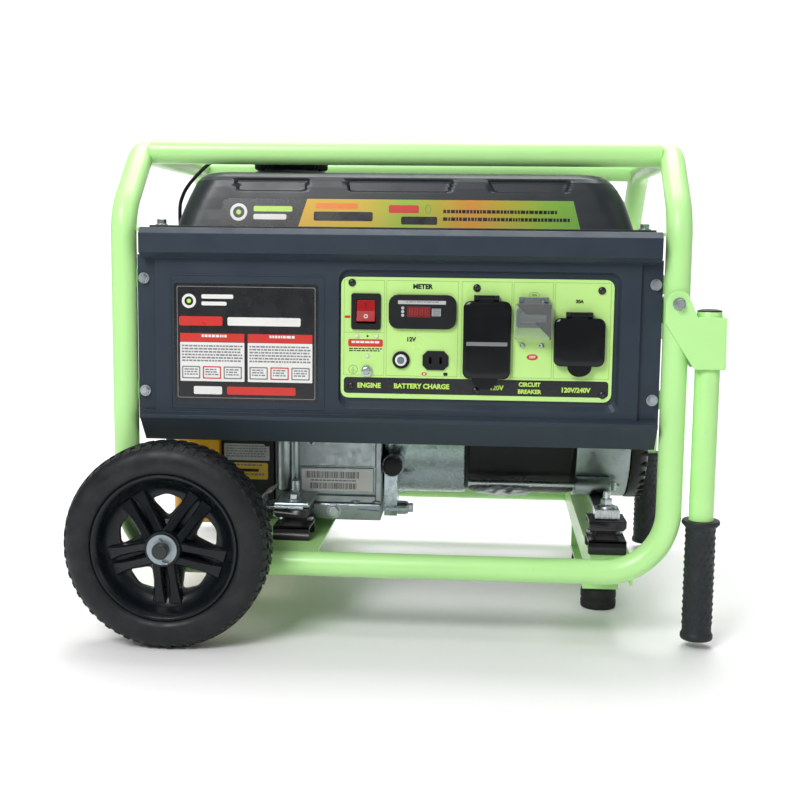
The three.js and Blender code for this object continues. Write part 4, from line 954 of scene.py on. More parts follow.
INKS = {
    "black": printed("black_ink", (0.008, 0.009, 0.011), 0.26),
    "white": printed("white_ink", (0.80, 0.80, 0.78)),
    "red": printed("red_ink", (0.62, 0.03, 0.02)),
    "orange": printed("orange_ink", (0.85, 0.22, 0.02)),
    "yellow": printed("yellow_ink", (0.85, 0.52, 0.03)),
    "lime": printed("lime_ink", (0.50, 0.80, 0.12)),
    "grey": printed("grey_ink", (0.20, 0.21, 0.22)),
    "silver": printed("silver_ink", (0.50, 0.50, 0.51), 0.22),
    "maroon": printed("maroon_ink", (0.16, 0.010, 0.012)),
    "moss": printed("moss_ink", (0.20, 0.34, 0.07)),
    "steel": printed("steel_ink", (0.13, 0.17, 0.20)),
    "blue": printed("blue_ink", (0.02, 0.03, 0.30)),
}


def stripe_print(left, right):
    """Printed vinyl whose colour runs through yellow, lime, orange and green along X."""
    ink = Shader("stripe_ink", (0.7, 0.6, 0.1), 0.35, Coat_Weight=0.3)
    split = ink.tree.nodes.new("ShaderNodeSeparateXYZ")
    ink.link(ink.where, split.inputs["Vector"])
    bands = ink.tree.nodes.new("ShaderNodeValToRGB")
    stops = ((0, (0.70, 0.42, 0.02)), (0.22, (0.62, 0.45, 0.03)), (0.36, (0.30, 0.48, 0.04)),
             (0.46, (0.42, 0.42, 0.03)), (0.60, (0.62, 0.26, 0.02)), (0.72, (0.45, 0.36, 0.03)),
             (0.88, (0.22, 0.42, 0.04)), (1, (0.16, 0.38, 0.05)))
    for _ in stops[2:]:
        bands.color_ramp.elements.new(0.5)
    for element, (place, colour) in zip(bands.color_ramp.elements, stops):
        element.position = place
        element.color = (*colour, 1)
    ends = (FRAME_X + left * MM, FRAME_X + right * MM)
    ink.link(ink.ramp(split.outputs["X"], *ends), bands.inputs["Fac"])
    ink.link(bands.outputs["Color"], ink.principled.inputs["Base Color"])
    ink.uneven(16, 0.28, 0.42)
    return ink.material


INKS["stripe"] = stripe_print(*STRIPE)


class Decal:
    """Flat printed areas on a surface that faces the front, gathered by ink.

    The surface stands at depth y at the height level, and slope tells how much y grows with the height.
    """

    def __init__(self, name, y, slope=0.0, level=0.0):
        self.name = name
        self.y = y
        self.slope = slope
        self.level = level
        self.layers = {}

    def area(self, ink, outline, lift=0):
        make = self.layers.setdefault((ink, lift), Make())
        top = self.y - 0.12 - 0.05 * lift
        make.prism("y", outline, (top, self.y + 0.05))
        return self

    def box(self, ink, x, z, radius=0.6, lift=0):
        radius = min(radius, (x[1] - x[0]) / 2.1, (z[1] - z[0]) / 2.1)
        return self.area(ink, round_rect(x, z, radius, 4), lift)

    def disc(self, ink, x, z, radius, lift=0):
        return self.area(ink, [(x + u, z + v) for u, v in circle(radius, 28)], lift)

    def ring(self, ink, x, z, radii, width, lift=0):
        """An oval line around a point."""
        for k in range(24):
            corners = []
            for turn, inset in ((k, 0), (k + 1, 0), (k + 1, width), (k, width)):
                angle = math.radians(15 * turn)
                across, up = radii[0] - inset, radii[1] - inset
                corners.append((x + across * math.cos(angle), z + up * math.sin(angle)))
            self.area(ink, corners, lift)
        return self

    def border(self, ink, x, z, width, lift=0):
        """A thin line around a rectangle."""
        for edge in x:
            self.box(ink, (edge - width / 2, edge + width / 2), z, 0.05, lift)
        for edge in z:
            self.box(ink, x, (edge - width / 2, edge + width / 2), 0.05, lift)
        return self

    def lines(self, ink, x, z, count, seed, lift=1):
        """Rows of short bars, in place of small print."""
        draw = random.Random(seed)
        pitch = (z[1] - z[0]) / count
        for row in range(count):
            left = x[0]
            top = z[1] - row * pitch
            while left < x[1] - 2:
                right = min(x[1], left + draw.uniform(1.6, 5.5))
                self.box(ink, (left, right), (top - 0.55 * pitch, top), 0.2, lift)
                left = right + 0.9
        return self

    def bars(self, x, z, seed):
        """A generic pattern of upright bars."""
        draw = random.Random(seed)
        left = x[0]
        while left < x[1] - 1:
            width = draw.choice((0.35, 0.6, 1.0))
            self.box("black", (left, left + width), z, 0.05, 1)
            left += width + draw.choice((0.4, 0.7, 1.1))
        return self

    def done(self, body="machine"):
        for (ink, lift), make in self.layers.items():
            for vert in make.bm.verts:
                vert.co.y += self.slope * (vert.co.z - self.level)
            make.done(f"{self.name}_{ink}_{lift}", INKS[ink], body, smooth=20)


def legend(name, words, x, z, size, ink):
    """A short functional legend on the lime plate, as thin raised print."""
    text = bpy.data.curves.new(name, "FONT")
    text.body = words
    text.size = size * MM
    text.align_x = "CENTER"
    text.align_y = "CENTER"
    text.extrude = 0.06 * MM
    text.offset = 0.045 * size * MM
    text.resolution_u = 3
    piece = bpy.data.objects.new(name, text)
    piece.rotation_euler = (math.radians(90), 0, 0)
    piece.location = (FRAME_X + x * MM, LEGEND_Y * MM, z * MM)
    return settle(piece, INKS[ink], "machine")


def panel_label():
    """The black label on the left of the panel, with generic stripes and colour blocks."""
    label = Decal("panel_label", FACE)
    label.box("black", (-263, -91), (285, 425), 3)
    label.box("grey", (-259.5, -94.5), (289, 421.5), 2, 1)
    label.box("black", (-258.7, -95.3), (289.8, 420.7), 2, 2)
    label.ring("white", -245, 404, (8.5, 8.5), 3.2, 3)
    label.disc("lime", -245, 404, 2.6, 3)
    label.box("white", (-230, -192), (407, 412), 1.5, 3)
    label.box("white", (-230, -200), (399, 403.5), 1.5, 3)
    label.box("red", (-257, -205), (375, 386), 2, 3)
    label.box("white", (-199, -112), (375.5, 385.5), 2, 3)
    label.box("red", (-256, -179), (356, 366), 0.8, 3)
    label.box("red", (-175, -98), (356, 366), 0.8, 3)
    label.box("white", (-256, -179), (309, 355.4), 0.8, 3)
    label.box("white", (-175, -98), (309, 355.4), 0.8, 3)
    for left, seed in ((-254, 3), (-173, 4)):
        label.lines("white", (left + 24, left + 54), (359, 364.5), 1, seed, 4)
        label.lines("grey", (left, left + 73), (331, 352), 6, seed + 10, 4)
        for k in range(3):
            label.box("red" if k % 2 else "grey", (left + 25 * k, left + 22 + 25 * k), (312, 327), 1, 4)
            label.box("white", (left + 1.5 + 25 * k, left + 20.5 + 25 * k), (313.5, 325.5), 1, 5)
            label.lines("grey", (left + 3 + 25 * k, left + 19 + 25 * k), (315, 324), 3, seed + 20 + k, 6)
    label.box("white", (-240, -206), (293.5, 303), 1.5, 3)
    label.box("red", (-200, -118), (293.5, 303), 1.5, 3)
    label.done()
    frame_ring = Make()
    (left, right), (bottom, top) = LABEL_EDGE
    upright = (bottom - 1.6, top + 1.6)
    for x, z in (
        ((left, right), (top, top + 1.6)),
        ((left, right), (bottom - 1.6, bottom)),
        ((left - 1.6, left), upright),
        ((right, right + 1.6), upright),
    ):
        frame_ring.block(x, (FACE - 0.7, FACE + 0.1), z)
    frame_ring.done("panel_label_frame", SLATE_PLASTIC, "machine", "housing_plastic", bevel=0.3)


def tank_stripe():
    """The printed stripe along the tank's front, with generic marks in place of words."""
    stripe = Decal("tank_stripe", -213.6, 0.184, 494)
    stripe.area("black", [(-217, 493), (-122, 493), (-112, 526), (-206, 526), (-213, 523.5)])
    stripe.area("stripe", [(-121.4, 493), (214, 493), (205.5, 526), (-111.4, 526)])
    stripe.ring("white", -194, 509.5, (10.5, 10.5), 3.6, 1)
    stripe.disc("lime", -194, 509.5, 3, 1)
    stripe.box("lime", (-176, -129), (510.5, 517), 2, 1)
    stripe.box("white", (-176, -136), (501, 507.5), 2, 1)
    stripe.box("orange", (-101, -50), (514.5, 521), 1.5, 1)
    stripe.box("black", (-103, -32), (500, 511), 2, 1)
    stripe.box("red", (-13, 23), (510, 519.5), 2, 1)
    stripe.box("black", (2, 45), (496.5, 506), 2, 1)
    stripe.ring("moss", 34, 515, (3.6, 5.6), 1.1, 1)
    stripe.lines("black", (52, 188), (507, 514.5), 1, 61)
    stripe.lines("black", (52, 203), (498, 505.5), 1, 62)
    stripe.done()


def plate_print():
    """Legends, divider lines, lamps and colour marks printed on the lime plate."""
    sheet = Decal("plate_print", PLATE_FRONT)
    sheet.box("black", (-61, 249), (298, 317), 4)
    for x in ((-61, -13.7), (-11, 72.6), (77, 134.8), (137, 182.4), (184.8, 249)):
        sheet.border("moss", x, (319.5, 431), 0.35)
    sheet.box("moss", (-61, -13.7), (369.6, 370), 0.1)
    sheet.box("red", (-56, -15), (353, 362), 2)
    sheet.lines("white", (-52, -19), (355.2, 359.8), 1, 5, 1)
    sheet.lines("black", (-55, -16), (346.6, 351.4), 2, 6)
    sheet.box("red", (-60.5, -53.5), (386.5, 389.5), 1.4)
    sheet.box("red", (31, 37), (320.4, 324), 1.2)
    sheet.box("white", (32.6, 35.4), (321.4, 323), 0.6, 1)
    sheet.box("black", (56.5, 61.5), (320.2, 324.2), 1.2)
    sheet.area("red", [(160 + 6.6 * u, 344 + 3.6 * v) for u, v in circle(1, 30)])
    sheet.ring("moss", 160.5, 416.4, (6.4, 3.4), 0.5)
    sheet.ring("moss", -50, 326, (5.4, 5.4), 0.6)
    sheet.box("moss", (-50.3, -49.7), (325.6, 329.4), 0.1, 2)
    for k, half in enumerate((2.8, 1.9, 1.0)):
        sheet.box("moss", (-50 - half, -50 + half), (325 - 1.4 * k, 325.5 - 1.4 * k), 0.1, 2)
    sheet.disc("black", -33.2, 365.6, 1.3)
    sheet.done()
    for name, words, x, z, size, ink in (
        ("legend_meter", "METER", 31, 424.2, 7.6, "black"),
        ("legend_dc", "12V", 18, 362.4, 6.8, "black"),
        ("legend_on", "ON", 160.5, 416.4, 3.6, "moss"),
        ("legend_off", "OFF", 160, 344, 4, "white"),
        ("legend_switch", "ENGINE", -31, 307.2, 7.8, "lime"),
        ("legend_battery", "BATTERY CHARGE", 31, 307.2, 7.8, "lime"),
        ("legend_duplex", "120V", 119, 307, 7.6, "lime"),
        ("legend_breaker_a", "CIRCUIT", 157.5, 311.6, 6.6, "lime"),
        ("legend_breaker_b", "BREAKER", 157.5, 303.2, 6.6, "lime"),
        ("legend_locking", "120V/240V", 211, 306, 7.6, "lime"),
        ("legend_amps", "30A", 213, 409.5, 5.4, "black"),
    ):
        legend(name, words, x, z, size, ink)


def dished_screw(make, x, z, radius, y, recess=2.2):
    """A pan-head cross screw."""
    profile = [(0, y), (radius, y), (radius, y - 0.9), (radius * 0.8, y - 2), (recess, y - 2.5),
               (recess * 0.55, y - 1.5), (0, y - 1.2)]
    make.lathe("y", profile, (x, 0, z), 32)


def panel_screws():
    """The screws of the plate, the panel's bolts, the earth stud and the lamps."""
    black = Make()
    for x, z in ((-51.7, 427.9), (94.1, 423.6), (238.4, 422.4),
                 (-52.2, 306.5), (94.8, 303.3), (242.4, 301.2)):
        dished_screw(black, x, z, 4.5, PLATE_FRONT)
    black.done("control_plate_screws", BLACK_PAINT, "machine", "black_paint")
    zinc = Make()
    for x, z in ((149, 408), (171, 408), (148.5, 357.5), (170.5, 357.5)):
        dished_screw(zinc, x, z, 3.1, PLATE_FRONT - (2 if z > 400 else 0), 1.4)
    stud = [(0, -250), (3, -250), (3, -253), (6.4, -253), (6.6, -254.4), (4, -254.6), (4, -258.4),
            (3.2, -259.6), (0, -259.8)]
    zinc.lathe("y", stud, EARTH_STUD, 32)
    zinc.hexagon("y", 9.4, (-257.6, -254.6), EARTH_STUD)
    washer = [(0, -249.6), (6.6, -249.6), (6.8, -250.2), (6.6, -251.1), (0, -251.1)]
    for x in (-300, 300):
        for z in PANEL_BOLT_Z:
            zinc.lathe("y", washer, (x, 0, z), 36)
            zinc.hexagon("y", 9.4, (-255.6, -251.1), (x, 0, z))
            zinc.lathe("y", [(0, -255.6), (3.6, -255.6), (3.1, -256.3), (0, -256.3)], (x, 0, z), 24)
    zinc.done("panel_bolts_and_earth_stud", ZINC, "machine", "zinc_steel")
    lamps = Make()
    for x, z in ((-45.5, 365.8), (-22.3, 365.8), (-33.2, 342.5)):
        lamps.lathe("y", [(0, -251.6), (2.3, -251.6), (2.2, -253), (1.6, -254), (0, -254.4)], (x, 0, z), 24)
    lamps.done("indicator_lamps", WHITE_PLASTIC, "machine", "grey_plastic")


def meter_face():
    """The meter's display window, its column of lamps and its name bar."""
    face = Decal("meter_face", -256.6)
    face.box("silver", (2.6, 58.4), (404, 408.2), 0.4)
    face.lines("grey", (12, 50), (405, 407.4), 1, 8)
    face.box("maroon", (13.5, 40.7), (388.8, 401.2), 0.5)
    for digit in range(4):
        left = 16.4 + 6 * digit
        face.border("red", (left, left + 3.2), (391.6, 398.4), 0.35, 1)
        face.box("red", (left, left + 3.2), (394.8, 395.2), 0.05, 1)
    for k in range(3):
        face.disc("silver", 8.2, 391 + 4.2 * k, 1.8)
    face.done()
    rocker = Decal("rocker_off_mark", -256.2, 0.334, 389.1)
    rocker.ring("white", -35.1, 389.1, (2.3, 2.3), 0.8)
    rocker.done("engine_switch")
    rocker = Decal("rocker_on_mark", -254.2, -0.008, 401)
    rocker.box("black", (-35.6, -34.6), (398, 404.6), 0.2)
    rocker.done("engine_switch")
    centre = Decal("dc_breaker_face", -258)
    centre.disc("steel", 6.6, 338.3, 4.4)
    centre.done("dc_reset_button")
    grille = Decal("meter_button_face", -257.9)
    for k in range(4):
        grille.box("grey", (43.4, 51.6), (391.6 + 1.9 * k, 392.5 + 1.9 * k), 0.2)
    grille.done("meter_push_button")


# each cover: its spans in X and Z, its hinge's span, and the thumb tab's middle and half width
DUPLEX = ((79, 134.5), (318, 409), (97, 114.2), 105.25, 15)
LOCKING = ((184, 243), (334.6, 391), (203.7, 222.3), 214.25, 14)
TAB_DROP = 11.6


def rounded_flap(name, unit, node, body, front):
    """A moulded outlet cover: crowned face, hinge knuckle and a round thumb tab."""
    x, z, hinge, tab_x, tab_half = unit
    back = -256.9
    layers = []
    for inset, y, radius in ((0.6, back, 8), (0, back - 0.6, 8.6), (0, front + 3, 8.6),
                             (0.8, front + 1.6, 8.2), (2.4, front + 0.7, 7.4), (5, front + 0.1, 6),
                             (7, front, 5)):
        layers.append((y, *shrunk(x, z, inset), radius))
    make = Make().loft("y", layers, 8)
    arc = []
    for k in range(13):
        angle = math.radians(180 - 15 * k)
        arc.append((tab_x + tab_half * math.cos(angle), z[0] - TAB_DROP * math.sin(angle) - 0.2))
    thumb = [(tab_x - tab_half, z[0] + 3), *arc, (tab_x + tab_half, z[0] + 3)]
    make.prism("y", thumb, (front + 1.8, back))
    top = z[1]
    make.bar("x", 3, hinge, (0, -259.5, top + 3.5), 28)
    make.block(hinge, (-262.3, back), (top - 1.5, top + 3.5))
    make.done(name, GLOSS_BLACK, body, "black_plastic", [node], bevel=0.5)


def clear_plastic():
    """Clear polycarbonate, slightly yellowed and scuffed."""
    clear = Shader("clear_polycarbonate", (0.93, 0.96, 0.95), 0.08, Transmission_Weight=0.92, IOR=1.5)
    clear.tint(clear.ramp(clear.noise(20, 4), 0.5, 0.8, 0, 0.3), (0.80, 0.86, 0.80))
    return clear.bump(clear.noise(7, 2), 0.02).material


for NODE, MATERIAL, BEVEL in (
    ("panel_housing", SLATE_PLASTIC, 2.2),
    ("control_plate", PLATE_LIME, 0.35),
    ("switch_bezel", BLACK_PLASTIC, 0.7),
    ("switch_paddle", RED_PLASTIC, 0.5),
    ("digital_meter", BLACK_PLASTIC, 1.0),
    ("meter_button", GREY_PLASTIC, 0.5),
    ("dc_socket", BLACK_PLASTIC, 0.4),
    ("dc_breaker", BLACK_PLASTIC, 0.5),
    ("dc_breaker_button", WHITE_PLASTIC, 1.2),
    ("duplex_outlet", BLACK_PLASTIC, 0.4),
    ("breaker_body", SMOKED_PLASTIC, 0.8),
    ("breaker_toggle", SMOKED_PLASTIC, 0.8),
    ("breaker_cover", clear_plastic(), 0.5),
    ("locking_outlet", BLACK_PLASTIC, 0.4),
):
    dress(NODE, MATERIAL, BEVEL)
panel_label()
tank_stripe()
plate_print()
panel_screws()
meter_face()
rounded_flap("duplex_cover_moulding", DUPLEX, "duplex_cover", "duplex_flap", -262.4)
rounded_flap("locking_cover_moulding", LOCKING, "locking_cover", "locking_flap", -262.9)
BAND = Decal("duplex_cover_band", -262.4)
BAND.box("grey", (83, 130.5), (357, 361.5), 0.4)
BAND.done("duplex_flap")


# ------------------------------------------------------------------ engine and alternator
SHAFT_Z = 240


def on_shaft(profile, name, material, slot, replaces, closed=False, extra=None):
    """A turned part around the shaft, with what extra() adds to it."""
    make = Make().lathe("x", profile, (0, 0, SHAFT_Z), 96, closed)
    if extra:
        extra(make)
    return make.done(name, material, "machine", slot, replaces)


def around_shaft(make, angle, x, y, z):
    """Adds a block given beside the shaft's axis, turned about it by the angle."""
    since = len(make.bm.verts)
    make.block(x, y, z)
    make.turn(Matrix.Translation((0, 0, SHAFT_Z)) @ Matrix.Rotation(angle, 4, "X"), since)


def cover_outline(radius, half_foot, foot_z, inset=0.0):
    """A cover's outline across the shaft: a round top on a flat foot."""
    half = half_foot - inset
    top = []
    for k in range(46):
        angle = math.radians(4 * k)
        top.append((half * math.cos(angle), SHAFT_Z + (radius - inset) * math.sin(angle)))
    foot = foot_z + inset
    return [(half, foot + 8), *top, (-half, foot + 8), (-half + 8, foot), (half - 8, foot)]


def shell_between(make, outline, x, edge):
    """A cover with a rounded outer edge, from its open side at x[1] to its face at x[0]."""
    rings = []
    for k in range(7):
        angle = math.radians(15 * k)
        inset = edge * (1 - math.sin(angle))
        rings.append([(x[0] + edge * (1 - math.cos(angle)), y, z) for y, z in cover_outline(*outline, inset)])
    rings.append([(x[1], y, z) for y, z in cover_outline(*outline)])
    return make.skin(rings, caps=True)


def fan_side():
    """The black shroud, the yellow fan cover and the dished starter on its outside."""
    shroud = shell_between(Make(), (118, 116, 128), (-238, -168.4), 4)
    for z in (150, 215, 270):
        shroud.lathe("y", [(0, -114), (6, -114), (6, -117.2), (0, -117.2)], (-176, 0, z), 20)
    shroud.done("fan_shroud_pressing", BLACK_PAINT, "machine", "black_paint", ["fan_shroud"])
    cover = shell_between(Make(), (128, 126, 106), (-300, -238.4), 9)
    cover.lathe("x", [(0, -300), (100, -300), (100, -300.2), (0, -300.2)], (0, 0, SHAFT_Z), 72)
    cover.done("fan_cover_pressing", YELLOW_PAINT, "machine", "yellow_paint", ["fan_cover"])
    dish = [(96, -300.3), (96, -306), (94.5, -311), (90, -318), (84, -321.5), (70, -325.4), (40, -325.8),
            (38, -323.4), (14, -323.2), (12, -325.6), (0, -325.8)]
    recoil = Make().lathe("x", dish, (0, 0, SHAFT_Z), 96)
    for k in range(30):
        angle = math.radians(12 * k)
        around_shaft(recoil, angle, (-326, -322), (44, 66), (-1.6, 1.6))
        around_shaft(recoil, angle, (-318, -303), (88, 95.6), (-2, 2))
    recoil.done("recoil_starter_housing", BLACK_PLASTIC, "machine", "black_plastic", ["recoil_housing"])
    bolts = Make()
    for degrees in (45, 135, 225, 315):
        angle = math.radians(degrees)
        bolts.hexagon("x", 10, (-305, -299.6), (0, 104 * math.cos(angle), SHAFT_Z + 104 * math.sin(angle)))
    bolts.done("starter_bolts", ZINC, "machine", "zinc_steel")
    stickers = Decal("shroud_stickers", -116)
    stickers.box("silver", (-234, -174), (190, 212), 1)
    stickers.lines("grey", (-231, -178), (193, 210), 5, 31)
    stickers.box("yellow", (-232, -176), (165, 187), 2)
    stickers.box("black", (-219, -188), (175, 179), 0.4, 1)
    stickers.lines("grey", (-227, -181), (168, 173), 1, 32)
    stickers.lines("grey", (-227, -181), (181, 185), 1, 33)
    stickers.done()


ROPE_EYE = (-52, 300)  # Y and Z of the starter rope
ROPE_R = 2.2
ROPE_LAY = 0.35  # radians of twist between two rings
ROPE_RINGS = 120


def starter_grip():
    """The T-shaped grip and the twisted rope behind it."""
    y, z = ROPE_EYE
    layers = []
    for x, half_w, half_h in ((-333.6, 35, 8), (-335.5, 39, 10), (-340, 41.6, 11),
                              (-346, 41.6, 11), (-350, 40, 9.8), (-351.8, 37, 7)):
        layers.append((x, (y - half_w, y + half_w), (z - half_h, z + half_h), half_h - 0.5))
    make = Make().loft("x", layers, 8)
    make.lathe("x", [(0, -326.8), (6, -326.8), (7.5, -328), (9, -333), (10, -336), (0, -336)], (0, y, z), 32)
    make.done("starter_grip_moulding", RUBBER, "starter_handle", "rubber", ["starter_grip"])
    rope = Make()
    rings = []
    for k in range(ROPE_RINGS + 1):
        along = -330 + 92 * k / ROPE_RINGS
        ring = []
        for u, v in circle(1, 18, ROPE_LAY * k):
            swell = ROPE_R + 0.28 * math.cos(3 * (math.atan2(v, u) - ROPE_LAY * k))
            ring.append((along, y + u * swell, z + v * swell))
        rings.append(ring)
    rope.skin(rings, caps=True)
    rope.done("starter_rope", BLACK_PLASTIC, "starter_handle", "rubber", ["starter_grip"])


DRAIN_PLUG = (-87.7, 0, 127.2)
DIPSTICK = (-12, 0, 187)
LUG_BOLT = (0, -90, 127)


def crankcase_details():
    """Ribs, the rounded left edge, the ledge, the drain plug and the lead on the crankcase."""
    ribs = Make()
    ribs.lathe("z", [(0, 151), (9.6, 151), (10.6, 153), (10.6, 240), (0, 240)], (-155, -107.5, 0), 40)
    ribs.lathe("z", [(0, 151), (5, 151), (6, 153), (6, 240), (0, 240)], (-140.5, -111, 0), 28)
    ribs.block((-136, -34), (-114.6, -110), (184.5, 240))
    ribs.block((-34.4, -26.5), (-117, -108), (137, 240))
    ribs.block((-134, -34), (-118, -108), (137, 146.5))
    for x in (-60, -32):
        ribs.lathe("z", [(0, 137), (7, 137), (6.4, 140.5), (0, 141)], (x, -115, 0), 28)
    ribs.done("crankcase_ribs", CAST, "machine", "cast_aluminium", bevel=1.6)
    plugs = Make()
    washer = [(0, -121.6), (9.6, -121.6), (9.8, -122.6), (9.6, -123.4), (0, -123.4)]
    plugs.lathe("y", washer, DRAIN_PLUG, 32).hexagon("y", 13, (-130, -123.4), DRAIN_PLUG)
    stud = [(0, 151), (10, 151), (10, 152.4), (6, 152.6), (5.6, 166), (4.6, 167), (0, 167)]
    plugs.lathe("z", stud, (-138, -122, 0), 28)
    plugs.done("crankcase_plugs", ZINC, "machine", "zinc_steel", bevel=0.3)
    crankcase_label()
    lead = Make().tube([(-127, -118, 240), (-121, -121, 216), (-118, -121, 213)], 2.2, 16)
    lead.tube([(-118, -121, 214), (-101, -122, 228), (-96, -120, 233)], 1.6, 16)
    lead.done("oil_sensor_lead", ZINC, "machine", "zinc_steel")


def crankcase_label():
    """The slightly crooked label on its raised pad, and the blue mark on the ledge."""
    sticker = Decal("crankcase_label", -114.8)
    tilt = Matrix.Rotation(math.radians(0.9), 2)
    outline = ((-46.5, -15), (-20, -13), (46.5, -14), (46.5, 14), (-46.5, 15.4))
    corners = [tilt @ Vector(corner) for corner in outline]
    sticker.area("white", [(-85 + u, 165.5 + v) for u, v in corners])
    sticker.bars((-126, -55), (168.8, 177.6), 51)
    sticker.bars((-120, -58), (154.6, 162.4), 52)
    sticker.lines("grey", (-119, -60), (163.6, 166.6), 1, 53)
    sticker.done()
    backing = Make().block((-133, -37), (-114.8, -110), (148, 182.6))
    backing.done("crankcase_label_pad", CAST, "machine", "cast_aluminium", bevel=0.6)
    mark = Decal("paint_mark", -122)
    mark.area("blue", [(-57, 129.6), (-29, 127.6), (-29, 128.8), (-57, 130.4)])
    mark.done()


def bell_lugs(make):
    """The front bell's feet, and the bosses for the dipstick and the lower bolt."""
    make.block((-24, -7), (-98, -62), (117, 178))
    make.block((-24, -7), (62, 98), (117, 178))
    make.lathe("y", [(0, -60), (14, -60), (13.6, -108), (13, -112), (9, -112.1), (0, -112.1)], DIPSTICK, 40)
    make.lathe("x", [(0, -22), (9, -22), (9, 4), (8, 6), (0, 6)], LUG_BOLT, 32)


def dipstick_cap():
    """The dipstick's fluted head with its grip bar, on a machined collar."""
    x, _, z = DIPSTICK
    cap = Make()
    rings = []
    for radius, y in ((3.2, -62), (3.2, -112.2), (12.4, -112.3), (13, -113.5), (13, -120), (12, -123.6),
                      (9, -124.8), (0, -125)):
        wave = 0.5 if radius > 12.5 else 0
        ring = []
        for k in range(120):
            angle = math.radians(3 * k)
            reach = radius + wave * (math.cos(16 * angle) - 1)
            ring.append((x + reach * math.cos(angle), y, z + reach * math.sin(angle)))
        rings.append(ring)
    cap.skin(rings, caps=True)
    cap.block((-20, -4), (-125, -122), (185.4, 188.6))
    cap.done("dipstick_cap", BLACK_PLASTIC, "oil_dipstick", "black_plastic", ["dipstick"])
    ring = [(9, -111.6), (14.4, -111.6), (14.8, -113.6), (13.8, -114.4), (13.3, -112.6), (9, -112.4)]
    collar = Make().lathe("y", ring, DIPSTICK, 48, closed=True)
    collar.done("dipstick_collar", MACHINED, "machine", "cast_aluminium")


def cap_fins(make):
    """The rim's fins and the radial ribs of the alternator's end cap."""
    for k in range(40):
        around_shaft(make, math.radians(9 * k), (298, 318.5), (100, 106.8), (-1.4, 1.4))
    for k in range(24):
        around_shaft(make, math.radians(15 * k), (320.4, 321.9), (34, 72), (-1.8, 1.8))


def alternator():
    """The alternator from the engine outwards: front bell, stator, end bell and end cap."""
    bell = [(17.6, -26), (60, -26), (98, -26), (103, -24.5), (105.6, -21), (106, -16), (106, 78.5),
            (105.2, 80.4), (103.6, 81), (17.6, 81)]
    on_shaft(bell, "alternator_front_bell_casting", TURNED, "cast_aluminium", ["alternator_front_bell"],
             closed=True, extra=bell_lugs)
    bolt = Make().bar("x", 8, (6, 7.4), LUG_BOLT).hexagon("x", 11, (7.4, 14), LUG_BOLT)
    bolt.done("bell_lug_bolt", ZINC, "machine", "zinc_steel", bevel=0.3)
    dipstick_cap()
    stator = [(63.2, 81.4), (102, 81.4), (102.6, 86), (104, 87.4), (104, 219.6), (102.6, 221),
              (102, 225.6), (63.2, 225.6)]
    on_shaft(stator, "stator_core", STATOR_PAINT, "lamination_steel", ["stator"], closed=True)
    end_bell()
    cover = [(104.3, 297.4), (106.6, 297.4), (107, 298.4), (107, 308), (105.5, 312.5), (101, 317.5),
             (96, 319.6), (80, 321.8), (76, 320.6), (28, 320.6), (26, 321.6), (0, 321.9)]
    on_shaft(cover, "alternator_end_cap", BLACK_PLASTIC, "black_plastic", ["alternator_end_cover"],
             extra=cap_fins)


TIE_ROD_REACH = 114
TIE_RODS = [
    (0, TIE_ROD_REACH * math.cos(math.radians(a)), SHAFT_Z + TIE_ROD_REACH * math.sin(math.radians(a)))
    for a in (43.5, 136.5, 223.5, 316.5)
]
MOUNT_X, MOUNT_Y = ISOLATORS["right"]
ENGINE_BOLT = (-133, 176)
SPOUT = (0, 165, 325)


def rod_bosses(make):
    for place in TIE_RODS:
        make.lathe("x", [(0, 226.2), (11.4, 226.2), (12, 227), (12, 271), (11, 272), (0, 272)], place, 40)


def end_bell():
    """The rear bell with its mounting arm, and the tie rods with their foil sleeve."""
    bell = [(13, 226.2), (103.8, 226.2), (105.6, 227), (106, 229), (106, 294), (104.8, 296.4), (102, 297),
            (13, 297)]
    on_shaft(bell, "alternator_end_bell_casting", CAST, "cast_aluminium", ["alternator_end_bell"],
             closed=True, extra=rod_bosses)
    plate = Make().prism("z", round_rect((MOUNT_X - 12, MOUNT_X + 12), (-190, 190), 4), (144.4, 150))
    plate.block((MOUNT_X - 10, MOUNT_X + 10), (-70, 70), (149, 156))
    plate.done("alternator_mount_arm", BLACK_PAINT, "machine", "black_paint", ["alternator_end_bell"],
               bevel=0.6)
    rods = Make()
    for place in TIE_RODS:
        rods.bar("x", 3.4, (86, 227), place, 24)
        rods.hexagon("x", 11, (272, 280), place)
        rods.bar("x", 3.2, (280, 284), place, 16)
        for x in (86, 110, 166):
            rods.lathe("x", [(3.3, x), (4.4, x + 0.6), (4.4, x + 3.4), (3.3, x + 4)], place, 16)
    rods.done("tie_rods", ZINC, "machine", "zinc_steel", ["alternator_end_bell"])
    foil_sleeve()
    mount_hardware()


